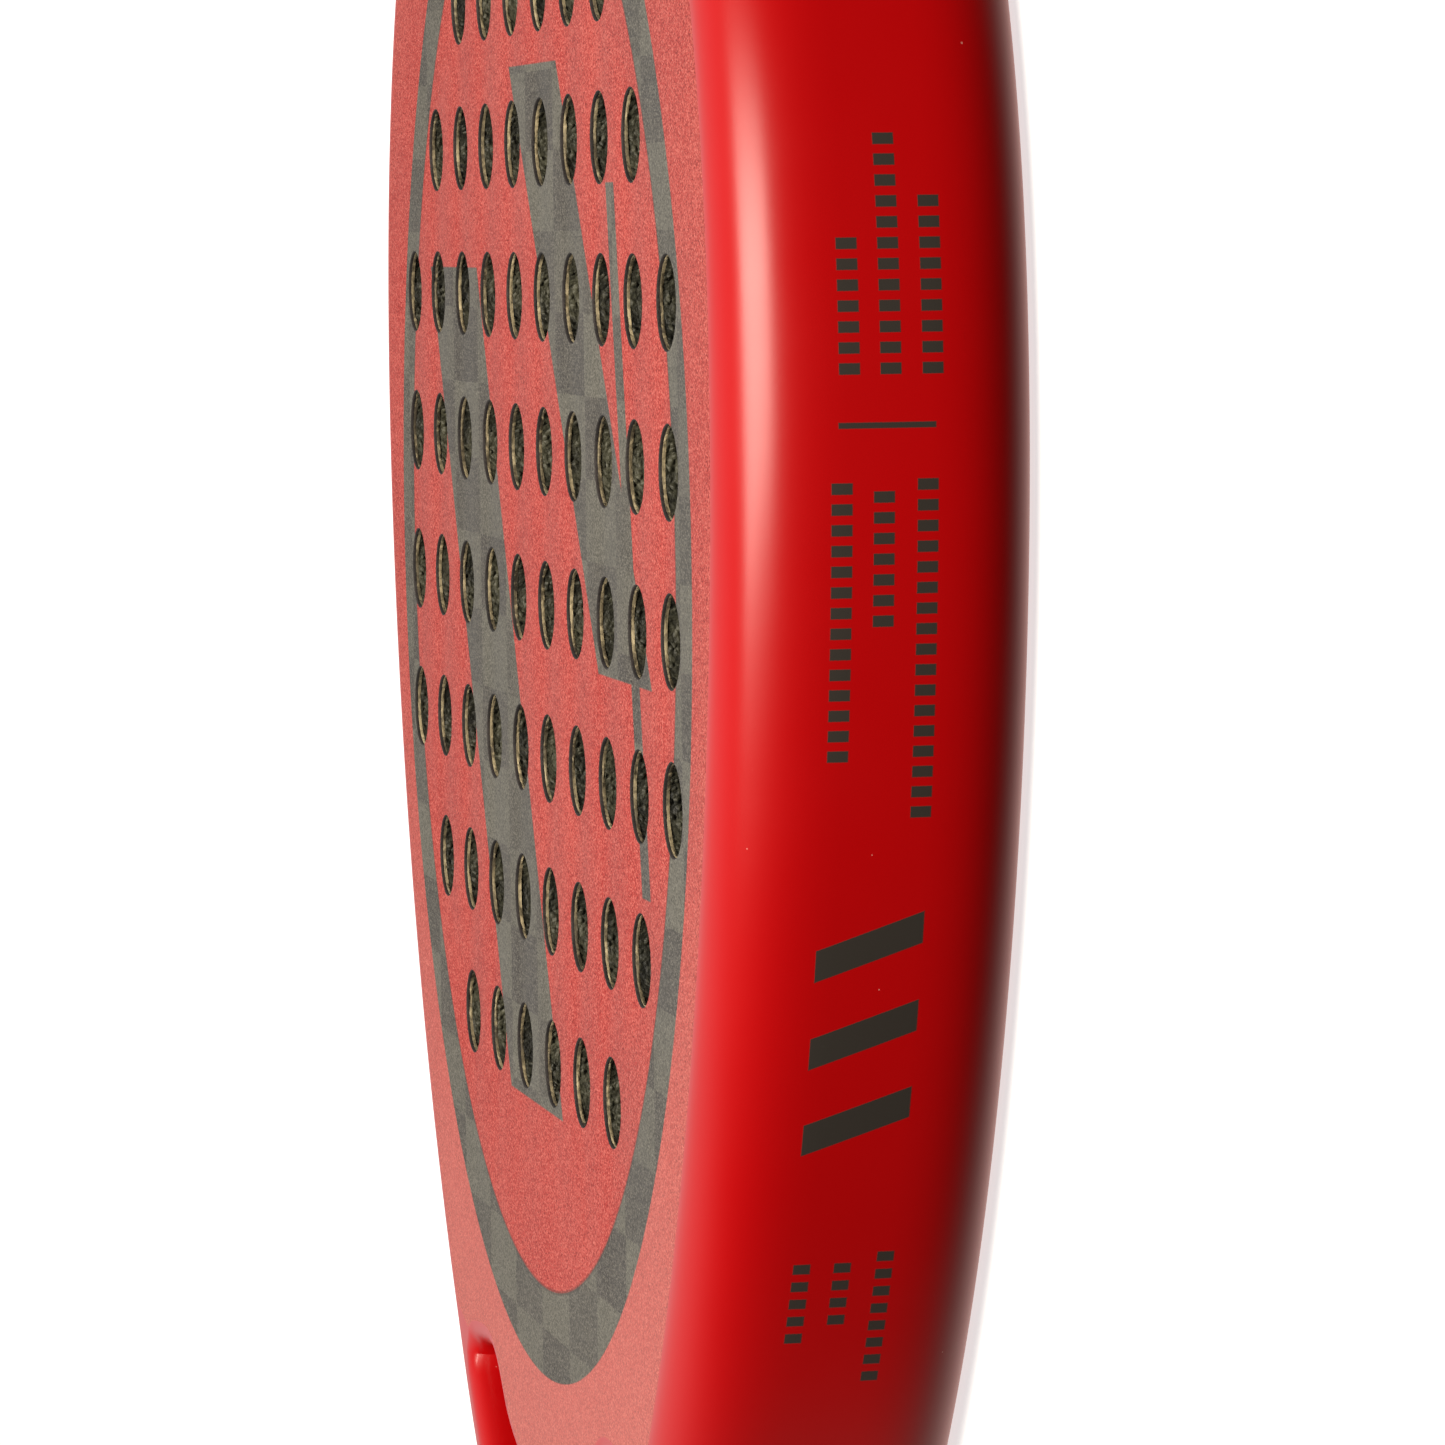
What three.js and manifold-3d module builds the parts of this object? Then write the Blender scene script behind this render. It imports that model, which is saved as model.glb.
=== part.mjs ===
// A padel racket lying flat on its rear face: a hollow carbon frame tube filled with foam rods,
// a tubular bridge across the throat, a drilled foam core between laminated faces, and a handle
// with its sleeve, grip, finishing tape, rubber collar and butt cap.
// Millimetres. +Z points out of the front face, +Y towards the top of the head, the handle is at -Y,
// and X = 0 is the plane of symmetry. The rear face lies in Z = 0.

import * as THREE from 'three';
import { mergeVertices } from 'three/addons/utils/BufferGeometryUtils.js';
import Module from 'manifold-3d';

// Overall size
const LENGTH = 455;
const THICKNESS = 38;
const MID = THICKNESS / 2;
const BUTT_Y = -LENGTH / 2;
const TOP_Y = LENGTH / 2;
const GAP = 0.3;

// Head outline: the widest station, the power of the rounded top and the curve down to the throat
const HEAD_HALF_WIDTH = 125.7;
const WIDEST_Y = 103.5;
const TOP_POWER = 2.2;
const THROAT_X = 49.7;
const THROAT_Y = -62;
const SHANK_BEND_Y = -97;
const THROAT_BEND = [24.3, -84.6];
const CHEEK_BEND = [121, 1.2];
const CHEEK_TOP_Y = 83;
const SHANK_STEPS = 9;
const CHEEK_STEPS = 11;
const TOP_STEPS = 9;

// Frame tube section
const TUBE_WIDTH = 15;
const SHANK_WIDTH = 13;
const TUBE_WALL = 2;
const FLAT_WALL = 4;
const SHOULDER = 10;
const INNER_ROUND = 3;

// Handle
const HANDLE_TOP_Y = -114;
const SLEEVE_TOP_Y = -112;
const SLEEVE_END_Y = -222;
const SLEEVE_HALF_X = 13;
const SLEEVE_HALF_Z = 14;
const SLEEVE_WALL = 1;
const BORE_HALF_X = SLEEVE_HALF_X - SLEEVE_WALL;
const BORE_HALF_Z = SLEEVE_HALF_Z - SLEEVE_WALL;
const BORE_CORNER = 6;
const SHANK_OUTER_X = BORE_HALF_X - GAP;
const SHANK_HALF_Z = BORE_HALF_Z - GAP;
const SHANK_INNER_X = 4.5;
const GRIP_BORE_X = SLEEVE_HALF_X + GAP;
const GRIP_BORE_Z = SLEEVE_HALF_Z + GAP;
const GRIP_THICKNESS = 2;
const GRIP_TOP_Y = -117;
const TAPE_INNER = GRIP_THICKNESS + 2 * GAP;
const TAPE_WALL = 0.5;
const TAPE_LOW_Y = -131;
const TAPE_HIGH_Y = -115;
const COLLAR_INNER = TAPE_INNER + TAPE_WALL + GAP;
const COLLAR_WALL = 1.2;
const COLLAR_LOW_Y = -125;
const COLLAR_HIGH_Y = -111;

// Hole pattern of the head
const PITCH = 20.3;
const HOLE_RADIUS = 5.75;
const PATTERN_Y = 86.9;
const ROW_COUNTS = [6, 8, 10, 10, 10, 10, 8, 6];
const HOLE_SIDES = 6;

// Laminate
const PLY = 0.6;
const LAMINATE = 2 * PLY + 2 * GAP;
const CLEAR = 2;
const FACE_INSET = SHOULDER + GAP;

// Bridge and throat opening
const ARC_Y = 21.6;
const FACE_ARC_RADIUS = 65.3;
const BRIDGE_ROUND = 4;
const BRIDGE_ARC_RADIUS = FACE_ARC_RADIUS + BRIDGE_ROUND;
const EAR_Y = -32;
const EAR_BLEND = [3, 2, 5];
const BRIDGE_TOP_ARC_Y = 105;
const BRIDGE_TOP_ARC_RADIUS = 130;
const BRIDGE_WALL = 4;
const BRIDGE_FLAT_WALL = 5;
const BRIDGE_SIDE_X = 98;
const BRIDGE_SIDE_HIGH_Y = 25;
const BRIDGE_SIDE_LOW_Y = 10;
const BRIDGE_EAR_X = 72;
const FACE_EAR_Y = -28;
const HEAD_END_Y = -60;
const GUSSET_TOP_Y = -92;
const GUSSET_HALF_WIDTH = 13;
const GUSSET_DIP = 10;
const GUSSET_STEP = 1;

// Butt cap
const CAP_PLATE_Y = -222.3;
const CAP_SKIRT_Y = -214.3;
const CAP_FLARE = 17.6;
const CAP_CORNER = 10;
const CORD_HOLE_RADIUS = 5;
const CORD_HOLE_LENGTH = 20;
const CORD_POCKET = [20, 16, 9];
const EYELET_WALL = 1;
const PIN_RADIUS = 1.2;
const PIN_LENGTH = 3.4;
const PIN_Y = -218;

const wasm = await Module();
wasm.setup();

/** A material with the finish of one kind of piece. */
function finish(color, roughness, metalness = 0) {
  return new THREE.MeshStandardMaterial({ color, roughness, metalness });
}

const RED_LACQUER = finish(0xb00508, 0.35);
const CARBON = finish(0x55524c, 0.5, 0.1);
const SANDED_CARBON = finish(0xcf5f58, 0.9);
const GLASS_PLY = finish(0xc9b79a, 0.7);
const CORE_FOAM = finish(0x2e332a, 0.9);
const FILLER_FOAM = finish(0xd8d2c4, 0.9);
const GRIP_LEATHER = finish(0x26241f, 0.8);
const TAPE_VINYL = finish(0x8a1210, 0.5);
const RUBBER = finish(0x1c1b19, 0.8);
const CAP_PLASTIC = finish(0x1a1a1a, 0.5);
const STEEL = finish(0x9a9a98, 0.35, 1);

/** Turns a closed geometry into a solid that can be cut and joined. */
function solidFrom(geometry) {
  const bare = geometry.clone();
  bare.deleteAttribute('normal');
  bare.deleteAttribute('uv');
  const merged = mergeVertices(bare, 1e-4);
  const vertProperties = new Float32Array(merged.attributes.position.array);
  const triVerts = new Uint32Array(merged.index.array);
  return new wasm.Manifold(new wasm.Mesh({ numProp: 3, vertProperties, triVerts }));
}

/** Turns a solid back into a geometry. */
function geometryFrom(solid) {
  const mesh = solid.getMesh();
  const geometry = new THREE.BufferGeometry();
  geometry.setAttribute('position', new THREE.BufferAttribute(mesh.vertProperties, 3));
  geometry.setIndex(new THREE.BufferAttribute(mesh.triVerts, 1));
  geometry.computeVertexNormals();
  return geometry;
}

/** Joins equal rings of points into a surface; the last ring meets the first one. */
function closedLoft(rings) {
  const size = rings[0].length;
  const positions = rings.flat().flatMap((point) => [point.x, point.y, point.z]);
  const faces = [];
  rings.forEach((ring, i) => {
    const next = (i + 1) % rings.length;
    for (let j = 0; j < size; j += 1) {
      const k = (j + 1) % size;
      faces.push(i * size + j, next * size + j, next * size + k);
      faces.push(i * size + j, next * size + k, i * size + k);
    }
  });
  return loftGeometry(positions, faces);
}

/** Joins equal convex rings into a rod whose two ends are closed with fans. */
function rodLoft(rings) {
  const size = rings[0].length;
  const positions = rings.flat().flatMap((point) => [point.x, point.y, point.z]);
  const faces = [];
  for (let i = 0; i < rings.length - 1; i += 1) {
    for (let j = 0; j < size; j += 1) {
      const k = (j + 1) % size;
      faces.push(i * size + j, (i + 1) * size + j, (i + 1) * size + k);
      faces.push(i * size + j, (i + 1) * size + k, i * size + k);
    }
  }
  const last = (rings.length - 1) * size;
  for (let j = 1; j < size - 1; j += 1) {
    faces.push(0, j, j + 1);
    faces.push(last, last + j + 1, last + j);
  }
  return loftGeometry(positions, faces);
}

/** Builds a geometry from points and triangles, turned so that its faces point out. */
function loftGeometry(positions, faces) {
  let volume = 0;
  const at = (index) => new THREE.Vector3().fromArray(positions, index * 3);
  for (let i = 0; i < faces.length; i += 3) {
    volume += at(faces[i]).dot(at(faces[i + 1]).cross(at(faces[i + 2])));
  }
  const outward = volume > 0 ? faces : faces.slice().reverse();
  const geometry = new THREE.BufferGeometry();
  geometry.setAttribute('position', new THREE.Float32BufferAttribute(positions, 3));
  geometry.setIndex(outward);
  return geometry;
}

/** Extrudes a flat outline from z = low to z = high. */
function slab(shape, low, high, curveSegments = 16) {
  const options = { depth: high - low, bevelEnabled: false, curveSegments };
  return new THREE.ExtrudeGeometry(shape, options).translate(0, 0, low);
}

/** Smooth change from 0 to 1. */
function ease(t) {
  const s = THREE.MathUtils.clamp(t, 0, 1);
  return s * s * (3 - 2 * s);
}

// ---- The path of the frame tube ----

/** Right half of the outer outline, from the handle end up to the top of the head. */
function halfPath() {
  const stations = [];
  const add = (x, y, width, halfZ) => stations.push({ x, y, width, halfZ });
  const shankWidth = SHANK_OUTER_X - SHANK_INNER_X;
  add(SHANK_OUTER_X, SLEEVE_END_Y, shankWidth, SHANK_HALF_Z);

  const shank = new THREE.CubicBezierCurve(
    new THREE.Vector2(SHANK_OUTER_X, HANDLE_TOP_Y),
    new THREE.Vector2(SHANK_OUTER_X, SHANK_BEND_Y),
    new THREE.Vector2(...THROAT_BEND),
    new THREE.Vector2(THROAT_X, THROAT_Y),
  );
  shank.getPoints(SHANK_STEPS).slice(0, -1).forEach((point, i) => {
    const t = i / SHANK_STEPS;
    const width = THREE.MathUtils.lerp(shankWidth, SHANK_WIDTH, ease(t * 1.1));
    add(point.x, point.y, width, THREE.MathUtils.lerp(SHANK_HALF_Z, MID, ease(t * 1.2)));
  });

  const cheek = new THREE.CubicBezierCurve(
    new THREE.Vector2(THROAT_X, THROAT_Y),
    new THREE.Vector2(...CHEEK_BEND),
    new THREE.Vector2(HEAD_HALF_WIDTH, CHEEK_TOP_Y),
    new THREE.Vector2(HEAD_HALF_WIDTH, WIDEST_Y),
  );
  cheek.getPoints(CHEEK_STEPS).slice(0, -1).forEach((point, i) => {
    add(point.x, point.y, THREE.MathUtils.lerp(SHANK_WIDTH, TUBE_WIDTH, ease((3 * i) / CHEEK_STEPS)), MID);
  });

  const rise = TOP_Y - WIDEST_Y;
  for (let i = 0; i <= TOP_STEPS; i += 1) {
    const angle = (i / TOP_STEPS) * (Math.PI / 2);
    const x = HEAD_HALF_WIDTH * Math.cos(angle) ** (2 / TOP_POWER);
    const y = WIDEST_Y + rise * Math.sin(angle) ** (2 / TOP_POWER);
    add(i === TOP_STEPS ? 0 : x, y, TUBE_WIDTH, MID);
  }
  return stations;
}

/** Whole outline with the inward direction at each station, right handle end to left handle end. */
function framePath() {
  const right = halfPath();
  const left = right.slice(0, -1).reverse().map((station) => ({ ...station, x: -station.x }));
  const path = [...right, ...left];
  return path.map((station, i) => {
    const before = path[Math.max(i - 1, 0)];
    const after = path[Math.min(i + 1, path.length - 1)];
    const tangent = new THREE.Vector2(after.x - before.x, after.y - before.y).normalize();
    return { ...station, inward: new THREE.Vector2(-tangent.y, tangent.x) };
  });
}

/** Section of the tube as (inward distance, height) pairs, grown outwards by a margin. */
function tubeSection(station, margin, wallSide = 0, wallFlat = 0) {
  const low = -margin + wallSide;
  const high = station.width + margin - wallSide;
  const halfZ = station.halfZ + margin - wallFlat;
  const outer = Math.min(SHOULDER - wallSide * 0.7, (high - low) * 0.8);
  const inner = Math.min(INNER_ROUND, (high - low - outer) * 0.7);
  const points = [];
  for (const side of [1, -1]) {
    const arc = [];
    for (let i = 0; i <= 3; i += 1) {
      const angle = (i / 3) * (Math.PI / 2);
      arc.push([low + outer * (1 - Math.cos(angle)), side * (halfZ - outer * (1 - Math.sin(angle)))]);
    }
    arc.push([high - inner, side * halfZ], [high, side * (halfZ - inner)]);
    points.push(...(side > 0 ? arc : arc.reverse()));
  }
  return points;
}

/** One ring of the tube in space. */
function tubeRing(station, section) {
  return section.map(([inward, height]) => new THREE.Vector3(
    station.x + station.inward.x * inward,
    station.y + station.inward.y * inward,
    MID + height,
  ));
}

const PATH = framePath();

/** The frame tube without its hollow, grown by a margin: it cuts its neighbours clear. */
function tubeBody(margin) {
  const rings = PATH.map((station) => tubeRing(station, tubeSection(station, margin)));
  return solidFrom(rodLoft(rings));
}

/** The hollow frame tube, open at both handle ends. */
function hollowTube() {
  const outside = PATH.map((station) => tubeRing(station, tubeSection(station, 0)));
  const inside = PATH.map((station) => tubeRing(station, tubeSection(station, 0, TUBE_WALL, FLAT_WALL)));
  return solidFrom(closedLoft([...outside, ...inside.reverse()]));
}

/** One foam rod that fills half of the frame tube, up to the top of the head. */
function foamRod(side) {
  const middle = (PATH.length - 1) / 2;
  const half = side > 0 ? PATH.slice(0, middle) : PATH.slice(middle + 1);
  const rings = half.map((station) => {
    return tubeRing(station, tubeSection(station, 0, TUBE_WALL + 2 * GAP, FLAT_WALL + GAP));
  });
  return rodLoft(rings);
}

// ---- Flat outlines ----

/** Outline of the head at a distance inside the outer edge, closed by a straight line at the throat. */
function headOutline(inset, endY) {
  const points = PATH
    .map((station) => new THREE.Vector2(
      station.x + station.inward.x * inset,
      station.y + station.inward.y * inset,
    ))
    .filter((point) => point.y > endY);
  return new THREE.Shape(points);
}

/** A disc, used to end the faces and the core at the bridge. */
function disc(centreY, radius, low, high) {
  const shape = new THREE.Shape().absarc(0, centreY, radius, 0, Math.PI * 2);
  return solidFrom(slab(shape, low, high, 48));
}

/** The head region that ends in the arc of the bridge, from z = low to z = high. */
function faceSlab(inset, grow, low, high) {
  const corner = HEAD_HALF_WIDTH + 1;
  const above = new THREE.Shape([
    new THREE.Vector2(-corner, FACE_EAR_Y - grow),
    new THREE.Vector2(corner, FACE_EAR_Y - grow),
    new THREE.Vector2(corner, TOP_Y),
    new THREE.Vector2(-corner, TOP_Y),
  ]);
  const field = solidFrom(slab(headOutline(inset - grow, HEAD_END_Y), low, high))
    .intersect(solidFrom(slab(above, low - 1, high + 1)));
  const tongue = disc(ARC_Y, FACE_ARC_RADIUS + grow, low, high);
  return field.add(tongue);
}

/** All the drilled holes of the head as prisms. */
function holePrisms(low, high) {
  const shapes = [];
  ROW_COUNTS.forEach((count, row) => {
    for (let i = 0; i < count; i += 1) {
      const x = (i - (count - 1) / 2) * PITCH;
      const y = PATTERN_Y + ((ROW_COUNTS.length - 1) / 2 - row) * PITCH;
      const corners = [];
      for (let k = 0; k < HOLE_SIDES; k += 1) {
        const angle = ((k + 0.5) / HOLE_SIDES) * Math.PI * 2;
        corners.push(new THREE.Vector2(x + HOLE_RADIUS * Math.cos(angle), y + HOLE_RADIUS * Math.sin(angle)));
      }
      shapes.push(new THREE.Shape(corners));
    }
  });
  return shapes.map((shape) => solidFrom(slab(shape, low, high))).reduce((all, one) => all.add(one));
}

/** One ply of the laminate: the face outline with every hole. */
function ply(low, high) {
  return faceSlab(FACE_INSET, 0, low, high).subtract(holePrisms(low - 1, high + 1));
}

/** Pockets in the frame and the bridge that take the laminate of both faces. */
function lapPockets() {
  const front = faceSlab(FACE_INSET, GAP, THICKNESS - LAMINATE, THICKNESS + CLEAR);
  const rear = faceSlab(FACE_INSET, GAP, -CLEAR, LAMINATE);
  return front.add(rear);
}

/** The foam core block before its holes are drilled, grown by a margin. */
function coreBlock(grow) {
  const low = LAMINATE - grow;
  const high = THICKNESS - LAMINATE + grow;
  const field = solidFrom(slab(headOutline(TUBE_WIDTH - grow, HEAD_END_Y), low, high));
  return field.intersect(disc(BRIDGE_TOP_ARC_Y, BRIDGE_TOP_ARC_RADIUS + grow, low, high)
    .add(solidFrom(slab(headOutline(TUBE_WIDTH - grow, BRIDGE_TOP_ARC_Y), low, high))));
}

/** Outline of the bridge; its lower edge is the top of the throat opening. */
function bridgeOutline(inset) {
  const radius = BRIDGE_ARC_RADIUS - inset;
  const ear = EAR_Y + inset;
  const arcX = Math.sqrt(radius ** 2 - (ARC_Y - ear) ** 2) - EAR_BLEND[0];
  const arcY = ARC_Y - Math.sqrt(radius ** 2 - arcX ** 2);
  const bendX = arcX + EAR_BLEND[1];
  const earX = arcX + EAR_BLEND[2];
  const shape = new THREE.Shape();
  shape.moveTo(-BRIDGE_SIDE_X, BRIDGE_SIDE_HIGH_Y);
  shape.lineTo(-BRIDGE_SIDE_X, BRIDGE_SIDE_LOW_Y);
  shape.lineTo(-BRIDGE_EAR_X, ear);
  shape.lineTo(-earX, ear);
  shape.quadraticCurveTo(-bendX, ear, -arcX, arcY);
  shape.absarc(0, ARC_Y, radius, Math.atan2(arcY - ARC_Y, -arcX), Math.atan2(arcY - ARC_Y, arcX), false);
  shape.quadraticCurveTo(bendX, ear, earX, ear);
  shape.lineTo(BRIDGE_EAR_X, ear);
  shape.lineTo(BRIDGE_SIDE_X, BRIDGE_SIDE_LOW_Y);
  shape.lineTo(BRIDGE_SIDE_X, BRIDGE_SIDE_HIGH_Y);
  return shape;
}

/** The bridge tube: rounded along the throat, hollow from side to side. */
function bridgeTube() {
  const geometry = new THREE.ExtrudeGeometry(bridgeOutline(0), {
    depth: THICKNESS - 2 * BRIDGE_ROUND,
    bevelEnabled: true,
    bevelThickness: BRIDGE_ROUND,
    bevelSize: BRIDGE_ROUND,
    bevelOffset: -BRIDGE_ROUND,
    bevelSegments: 3,
    curveSegments: 12,
  });
  const inside = headOutline(SHOULDER + 1, HEAD_END_Y);
  const between = solidFrom(slab(inside, -CLEAR, THICKNESS + CLEAR));
  const blank = solidFrom(geometry.translate(0, 0, BRIDGE_ROUND)).intersect(between);
  return blank.subtract(upperHead()).subtract(lapPockets()).subtract(tubeBody(GAP)).subtract(bridgeHollow(0));
}

/** Everything above the bridge that belongs to the core. */
function upperHead() {
  return disc(BRIDGE_TOP_ARC_Y, BRIDGE_TOP_ARC_RADIUS + GAP, -CLEAR, THICKNESS + CLEAR);
}

/** The space inside the bridge, shrunk by a margin. */
function bridgeHollow(shrink) {
  const wall = BRIDGE_WALL + shrink;
  const floor = BRIDGE_FLAT_WALL + shrink;
  const space = solidFrom(slab(bridgeOutline(wall), floor, THICKNESS - floor, 12));
  return space.subtract(disc(BRIDGE_TOP_ARC_Y, BRIDGE_TOP_ARC_RADIUS + GAP + wall, 0, THICKNESS));
}

/** The foam block inside the bridge. */
function bridgeFoam() {
  return bridgeHollow(GAP).subtract(tubeBody(2 * GAP));
}

/** The solid wedge where the two shanks meet above the handle. */
function gusset() {
  const shape = new THREE.Shape();
  shape.moveTo(-GUSSET_HALF_WIDTH, GUSSET_TOP_Y);
  shape.lineTo(-SHANK_INNER_X - GUSSET_STEP, SLEEVE_TOP_Y + GAP);
  shape.lineTo(SHANK_INNER_X + GUSSET_STEP, SLEEVE_TOP_Y + GAP);
  shape.lineTo(GUSSET_HALF_WIDTH, GUSSET_TOP_Y);
  shape.quadraticCurveTo(0, GUSSET_TOP_Y - GUSSET_DIP, -GUSSET_HALF_WIDTH, GUSSET_TOP_Y);
  const height = SHANK_HALF_Z - GUSSET_STEP;
  return solidFrom(slab(shape, MID - height, MID + height, 8)).subtract(tubeBody(GAP));
}

// ---- Handle ----

/** A rounded rectangle in X and Z. */
function roundedBox(halfX, halfZ, corner) {
  const shape = new THREE.Shape();
  shape.absarc(halfX - corner, halfZ - corner, corner, 0, Math.PI / 2);
  shape.absarc(corner - halfX, halfZ - corner, corner, Math.PI / 2, Math.PI);
  shape.absarc(corner - halfX, corner - halfZ, corner, Math.PI, Math.PI * 1.5);
  shape.absarc(halfX - corner, corner - halfZ, corner, Math.PI * 1.5, Math.PI * 2);
  return shape;
}

/** Extrudes a section along Y between two stations. */
function along(shape, fromY, toY) {
  const geometry = new THREE.ExtrudeGeometry(shape, {
    depth: toY - fromY,
    bevelEnabled: false,
    curveSegments: 4,
  });
  return geometry.rotateX(-Math.PI / 2).translate(0, fromY, MID);
}

/** A ring around the handle, from an inner half size to an outer one. */
function handleRing(innerX, innerZ, wall, fromY, toY) {
  const corner = BORE_CORNER + innerX - BORE_HALF_X;
  const shape = roundedBox(innerX + wall, innerZ + wall, corner + wall);
  shape.holes.push(roundedBox(innerX, innerZ, corner));
  return along(shape, fromY, toY);
}

/** The foam bar between the shanks, with the pocket for a wrist cord's knot. */
function handleCore() {
  const half = SHANK_INNER_X - GAP;
  const bar = new THREE.BoxGeometry(2 * half, SLEEVE_TOP_Y - SLEEVE_END_Y, 2 * SHANK_HALF_Z);
  bar.translate(0, (SLEEVE_TOP_Y + SLEEVE_END_Y) / 2, MID);
  const pocket = new THREE.BoxGeometry(...CORD_POCKET);
  pocket.translate(0, SLEEVE_END_Y + CORD_POCKET[1] / 2 - 1, MID);
  return solidFrom(bar).subtract(solidFrom(pocket));
}

/** A straight pin across the cap's side wall. */
function capPin(side, grow) {
  const length = PIN_LENGTH + 2 * grow;
  const pin = new THREE.CylinderGeometry(PIN_RADIUS + grow, PIN_RADIUS + grow, length, 10);
  return pin.rotateZ(Math.PI / 2).translate(side * (GRIP_BORE_X + GAP), PIN_Y, MID);
}

/** The butt cap: a flared end plate with the cord hole and a skirt around the sleeve. */
function buttCap() {
  const skirt = solidFrom(handleRing(GRIP_BORE_X, GRIP_BORE_Z, GRIP_THICKNESS, CAP_PLATE_Y - 1, CAP_SKIRT_Y));
  const flare = roundedBox(CAP_FLARE, CAP_FLARE + 1, CAP_CORNER);
  const plate = solidFrom(along(flare, BUTT_Y, CAP_PLATE_Y));
  const hole = new THREE.CylinderGeometry(CORD_HOLE_RADIUS, CORD_HOLE_RADIUS, CORD_HOLE_LENGTH, 16);
  return skirt.add(plate)
    .subtract(solidFrom(hole.translate(0, BUTT_Y, MID)))
    .subtract(solidFrom(capPin(1, GAP)))
    .subtract(solidFrom(capPin(-1, GAP)));
}

/** The eyelet that lines the cord hole. */
function cordEyelet() {
  const outer = CORD_HOLE_RADIUS - GAP;
  const inner = outer - EYELET_WALL;
  const profile = [
    new THREE.Vector2(inner, 0),
    new THREE.Vector2(outer, 0),
    new THREE.Vector2(outer, CAP_PLATE_Y - BUTT_Y),
    new THREE.Vector2(inner, CAP_PLATE_Y - BUTT_Y),
    new THREE.Vector2(inner, 0),
  ];
  return new THREE.LatheGeometry(profile, 16).translate(0, BUTT_Y, MID);
}

/** The carbon sleeve around the handle, with the two pin holes. */
function handleSleeve() {
  return solidFrom(handleRing(BORE_HALF_X, BORE_HALF_Z, SLEEVE_WALL, SLEEVE_END_Y, SLEEVE_TOP_Y))
    .subtract(solidFrom(capPin(1, GAP)))
    .subtract(solidFrom(capPin(-1, GAP)));
}

// ---- Assembly ----

const racket = new THREE.Group();

/** Adds one named piece. */
function add(name, shape, material) {
  const geometry = shape.isBufferGeometry ? shape : geometryFrom(shape);
  const mesh = new THREE.Mesh(geometry, material);
  mesh.name = name;
  racket.add(mesh);
}

add('frame_tube', hollowTube().subtract(lapPockets()), RED_LACQUER);
add('frame_foam_right', foamRod(1), FILLER_FOAM);
add('frame_foam_left', foamRod(-1), FILLER_FOAM);
add('bridge_tube', bridgeTube(), RED_LACQUER);
add('bridge_foam', bridgeFoam(), FILLER_FOAM);
add('throat_gusset', gusset(), RED_LACQUER);
add('core', coreBlock(0).subtract(tubeBody(GAP)).subtract(holePrisms(0, THICKNESS)), CORE_FOAM);
add('front_carbon_ply', ply(THICKNESS - PLY, THICKNESS), SANDED_CARBON);
add('front_glass_ply', ply(THICKNESS - 2 * PLY - GAP, THICKNESS - PLY - GAP), GLASS_PLY);
add('rear_carbon_ply', ply(0, PLY), SANDED_CARBON);
add('rear_glass_ply', ply(PLY + GAP, 2 * PLY + GAP), GLASS_PLY);
add('handle_core', handleCore(), FILLER_FOAM);
add('handle_sleeve', handleSleeve(), CARBON);
add('grip_wrap', handleRing(
  GRIP_BORE_X,
  GRIP_BORE_Z,
  GRIP_THICKNESS,
  CAP_SKIRT_Y + GAP,
  GRIP_TOP_Y,
), GRIP_LEATHER);
add('finishing_tape', handleRing(
  SLEEVE_HALF_X + TAPE_INNER,
  SLEEVE_HALF_Z + TAPE_INNER,
  TAPE_WALL,
  TAPE_LOW_Y,
  TAPE_HIGH_Y,
), TAPE_VINYL);
add('grip_collar', handleRing(
  SLEEVE_HALF_X + COLLAR_INNER,
  SLEEVE_HALF_Z + COLLAR_INNER,
  COLLAR_WALL,
  COLLAR_LOW_Y,
  COLLAR_HIGH_Y,
), RUBBER);
add('butt_cap', buttCap(), CAP_PLASTIC);
add('cord_eyelet', cordEyelet(), RUBBER);
add('butt_pin_right', capPin(1, 0), STEEL);
add('butt_pin_left', capPin(-1, 0), STEEL);

export default racket;
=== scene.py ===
"""The looks of a padel racket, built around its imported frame.

The racket lies on its rear face: +Z points out of the front face, +Y to the top of the head and the
handle lies at -Y. Shapes are worked out in millimetres and turned into metres when a mesh is made.
"""

import logging
import math
from dataclasses import dataclass
from enum import Enum
from typing import Callable, Sequence

import bmesh
import bpy
import numpy as np
from mathutils import Matrix, Vector
from mathutils.geometry import delaunay_2d_cdt


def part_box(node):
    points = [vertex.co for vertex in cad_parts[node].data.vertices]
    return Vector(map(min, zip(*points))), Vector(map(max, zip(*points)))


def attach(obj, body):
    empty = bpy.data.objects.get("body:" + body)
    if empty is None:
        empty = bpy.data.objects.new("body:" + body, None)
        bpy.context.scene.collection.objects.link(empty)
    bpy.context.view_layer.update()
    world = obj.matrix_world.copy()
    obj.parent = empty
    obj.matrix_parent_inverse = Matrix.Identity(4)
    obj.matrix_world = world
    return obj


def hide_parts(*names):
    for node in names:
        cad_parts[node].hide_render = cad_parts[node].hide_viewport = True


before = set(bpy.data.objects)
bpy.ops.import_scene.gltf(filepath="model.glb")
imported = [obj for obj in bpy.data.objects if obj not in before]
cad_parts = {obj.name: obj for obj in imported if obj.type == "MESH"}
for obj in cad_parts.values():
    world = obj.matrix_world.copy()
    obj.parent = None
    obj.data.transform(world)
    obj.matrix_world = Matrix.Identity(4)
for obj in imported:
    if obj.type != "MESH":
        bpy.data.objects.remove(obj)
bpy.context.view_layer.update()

MM = 0.001
BODY = "root"
LOG = logging.getLogger("padel_racket")

Socket = bpy.types.NodeSocket
Sockets = dict[str, Socket]
Colour = tuple[float, float, float, float]


# ---- Measures and curves ----


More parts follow.
